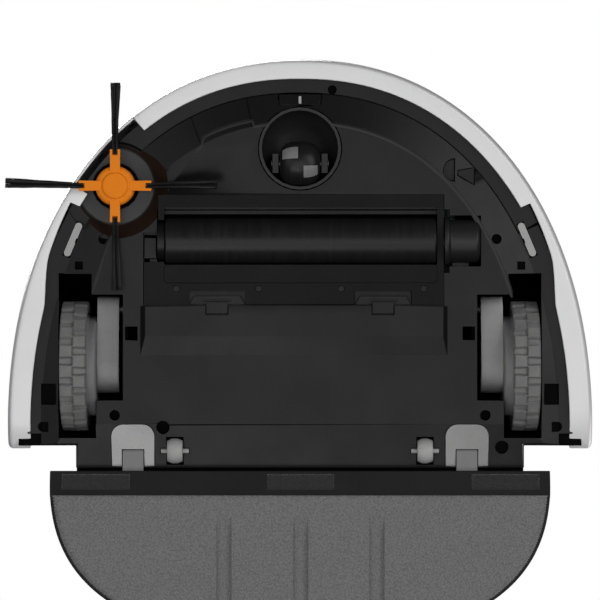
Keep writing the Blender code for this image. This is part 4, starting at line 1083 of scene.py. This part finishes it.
def mop_pad(finish):
    """Microfibre pad: rounded front edge, pinked sides and three channels that run out at the back."""
    module = plate_box()
    low, high = box_mm("mop_cloth")
    outline = mop_outline(PAD_INSET, low.y, module, 220, 0.55)
    front = [(x, low.y) for x in np.arange(-136.0, 136.01, PAD_GRID) if abs(x) < outline[0][0] - 0.6]
    flat, faces, distances = pad_face(outline + front, pad_points(low, high, module))
    mesh = bmesh.new()
    lower = []
    upper = []
    for v, edge in zip(flat, distances):
        ruffle = noise.noise(Vector((v.x * 0.9, v.y * 0.9, 3.0))) * 0.16
        ruffle += noise.noise(Vector((v.x * 0.05, v.y * 0.05, 9.0))) * 0.12
        face = low.z + 0.25 + pad_depth(v.x, v.y, edge) + ruffle * (1.0 if edge > 0.5 else 0.3)
        lower.append(mesh.verts.new((v.x, v.y, min(max(face, low.z), high.z - 0.25))))
        upper.append(mesh.verts.new((v.x, v.y, high.z)))
    used = set()
    for face in faces:
        mesh.faces.new([lower[i] for i in face])
        mesh.faces.new([upper[i] for i in face][::-1])
        used.update(zip(face, face[1:] + face[:1]))
    for a, b in sorted(used):
        if (b, a) not in used:
            mesh.faces.new((lower[a], upper[a], upper[b], lower[b]))
    bmesh.ops.delete(mesh, geom=[v for v in mesh.verts if not v.link_faces], context="VERTS")
    piece("mop_pad", mesh, "mop_module", finish, ("mop_cloth",), 60.0)


# Front sensor ------------------------------------------------

def sensor_divider(finish):
    """White rib between the two halves of the front sensor window."""
    low, high = box_mm("front_sensor")
    middle = (low.x + high.x) / 2
    front = low.y + 1.2
    back = high.y - 0.6
    outline = ((front, low.z + 0.35), (back, low.z - 0.15), (back, low.z + 1.0), (front, low.z + 1.6))
    rib = loft([[(middle + s * 0.75, y, z) for y, z in outline] for s in (-1, 1)])
    piece("sensor_divider", rib, "chassis", finish, edge=0.15)


# Every CAD node that keeps its shape: (node, finish, material slot, edge radius, angle of an edge)
KEPT_SHAPES = (
    ("base_cover", "base", "black_case", 0.45, 13.0),
    ("front_rim", "case", "black_case", 0.35, 30.0),
    ("top_cover", "cover", "white_shell", 0.40, 35.0),
    ("front_sensor", "case", "gloss_black", 0.30, 30.0),
    ("cliff_sensor", "case", "gloss_black", 0.25, 30.0),
    ("roller_housing", "case", "black_case", 0.40, 30.0),
    ("roller_bearing", "case", "black_case", 0.40, 30.0),
    ("roller_gear_housing", "cup", "black_case", 0.60, 30.0),
    ("roller_guard", "frame", "black_case", 0.35, 30.0),
    ("scraper_blade", "frame", "roller_rubber", 0.55, 30.0),
    ("roller_sleeve", "roller", "roller_rubber", 0.30, 40.0),
    ("roller_core", "case", "black_case", 0.30, 40.0),
    ("side_brush_motor", "joint", "black_case", 0.35, 35.0),
    ("caster_cup", "cup", "black_case", 0.35, 35.0),
    ("caster_axle", "screw", "steel", 0.25, 40.0),
    ("caster_wheel", "roller", "gloss_black", 0.25, 50.0),
    ("control_panel", "gloss", "gloss_black", 0.30, 40.0),
    ("power_button", "gloss", "gloss_black", 0.25, 40.0),
    ("dock_button", "gloss", "gloss_black", 0.25, 40.0),
    ("camera_window", "lens", "smoke_plastic", 0.30, 40.0),
    ("bin_lid", "white", "white_shell", 0.50, 40.0),
    ("bin_handle", "grey", "grey_plastic", 0.35, 40.0),
    ("dust_bin", "smoke", "smoke_plastic", 0.35, 40.0),
    ("bin_filter", "paper", "mop_fabric", 0.40, 40.0),
    ("water_tank", "smoke", "smoke_plastic", 0.50, 35.0),
)
KEPT_PAIRS = (
    ("latch_plate_", "latch", "light_plastic", 0.45, 35.0),
    ("guard_latch_", "case", "black_case", 0.25, 30.0),
    ("wheel_hub_", "grey", "grey_plastic", 0.45, 30.0),
    ("rear_roller_", "light", "light_plastic", 0.50, 40.0),
    ("bump_switch_", "case", "black_case", 0.30, 30.0),
)
# CAD nodes that stay as they are and only get a finish
INNER = {
    "steel": ("roller_motor", "arm_spring_left", "arm_spring_right", "bumper_spring_left",
              "bumper_spring_right"),
    "screw": ("pivot_pin_left", "pivot_pin_right"),
    "case": ("camera_module", "battery_pack"),
    "grey": ("suction_fan",),
    "board": ("main_board",),
}


def shapes(m):
    for node, finish, slot, width, angle in KEPT_SHAPES:
        refined(node, m[finish], width, angle)
    for side, word in SIDES:
        for prefix, finish, slot, width, angle in KEPT_PAIRS:
            refined(prefix + word, m[finish], width, angle)
        tyre(side, word, m["tread"])
        gearbox(side, word, m["gearbox"])
        gearbox_seam(side, word, m["gearbox"])
        contact_bar(side, word, m["light"])
        base_skirt(side, word, m["base"])
    for finish, nodes in INNER.items():
        for node in nodes:
            cad = frame["nodes"][node]
            cad.data.materials.clear()
            cad.data.materials.append(m[finish])
    bumper_shell(m["white"])
    bumper_ribs(m["case"])
    panel_joints(m["joint"])
    ridge_lines(m["ridge"])
    brush_hub(m["orange"])
    for quarter, word in enumerate(("right", "rear", "left", "front")):
        tuft(quarter, word, m["bristle"])
    encoder_patches(m["grey"])
    guard_screws(m["case"])
    sensor_divider(m["light"])
    mop_plate(m["strip"])
    mop_hooks(m["grey"])
    hook_patches(m["hook_tape"])
    mop_pad(m["pad"])


# Stage -------------------------------------------------------

def floor():
    """Pale floor at z = 0, seen from above only, so that the underside can be looked at through it."""
    mesh = bmesh.new()
    bmesh.ops.create_grid(mesh, x_segments=8, y_segments=8, size=2.5)
    data = bpy.data.meshes.new("floor")
    mesh.to_mesh(data)
    mesh.free()
    ground = bpy.data.objects.new("floor", data)
    bpy.context.scene.collection.objects.link(ground)
    surface = bpy.data.materials.new("floor")
    surface.use_nodes = True
    tree = surface.node_tree
    shader = tree.nodes["Principled BSDF"]
    feed(tree, shader, {"Base Color": (0.80, 0.80, 0.79, 1.0), "Roughness": 0.6})
    clear = add_node(tree, "ShaderNodeBsdfTransparent", {})
    behind = add_node(tree, "ShaderNodeNewGeometry", {}).outputs["Backfacing"]
    mix = add_node(tree, "ShaderNodeMixShader", {"Fac": behind, 1: shader.outputs[0], 2: clear.outputs[0]})
    feed(tree, tree.nodes["Material Output"], {"Surface": mix.outputs[0]})
    data.materials.append(surface)
    ground.visible_diffuse = False
    ground.visible_glossy = False
    ground.visible_transmission = False
    ground.visible_shadow = False


def backdrop(ambient):
    """White behind the object, and a dimmer even light on it."""
    world = bpy.data.worlds.new("studio")
    bpy.context.scene.world = world
    world.use_nodes = True
    tree = world.node_tree
    tree.nodes.clear()
    seen = add_node(tree, "ShaderNodeBackground", {"Color": (1.0, 1.0, 1.0, 1.0)})
    lit = add_node(tree, "ShaderNodeBackground", {"Color": (1.0, 1.0, 1.0, 1.0), "Strength": ambient})
    ray = add_node(tree, "ShaderNodeLightPath", {}).outputs["Is Camera Ray"]
    mix = add_node(tree, "ShaderNodeMixShader", {"Fac": ray, 1: lit.outputs[0], 2: seen.outputs[0]})
    add_node(tree, "ShaderNodeOutputWorld", {"Surface": mix.outputs[0]})


def softbox(name, direction, distance, size, power):
    """Rectangular soft light that faces the object from a direction."""
    light = bpy.data.lights.new(name, "AREA")
    light.shape = "RECTANGLE"
    light.size, light.size_y = size
    light.energy = power
    lamp = bpy.data.objects.new(name, light)
    bpy.context.scene.collection.objects.link(lamp)
    away = Vector(direction).normalized()
    lamp.location = away * distance
    lamp.rotation_mode = "QUATERNION"
    lamp.rotation_quaternion = away.to_track_quat("Z", "Y")
    lamp.visible_camera = False


def lights():
    backdrop(0.035)
    softbox("below_centre", (0.0, 0.05, -1.0), 2.0, (1.4, 1.0), 8.4)
    softbox("below_rear", (-0.24, 0.60, -1.0), 2.0, (1.2, 0.7), 9.0)
    softbox("below_right", (0.84, -0.38, -1.0), 2.0, (1.8, 1.0), 17.0)
    softbox("below_left", (-0.84, -0.38, -1.0), 2.0, (1.8, 1.0), 6.5)
    softbox("above_key", (-0.55, -0.75, 1.3), 1.9, (1.3, 1.0), 34.0)
    softbox("above_fill", (0.9, 0.5, 0.9), 2.1, (1.2, 1.2), 14.0)


def camera():
    """Looks straight up at the underside, with the front of the robot at the top of the picture."""
    lens = bpy.data.cameras.new("camera")
    lens.lens = 206.2
    lens.sensor_width = 36.0
    eye = bpy.data.objects.new("camera", lens)
    bpy.context.scene.collection.objects.link(eye)
    eye.location = (0.0, -0.029, -1.9)
    eye.rotation_euler = (math.pi, 0.0, 0.0)
    bpy.context.scene.camera = eye
    bpy.context.scene.view_settings.view_transform = "Standard"


shapes(make_finishes())
floor()
lights()
camera()
bpy.context.view_layer.update()
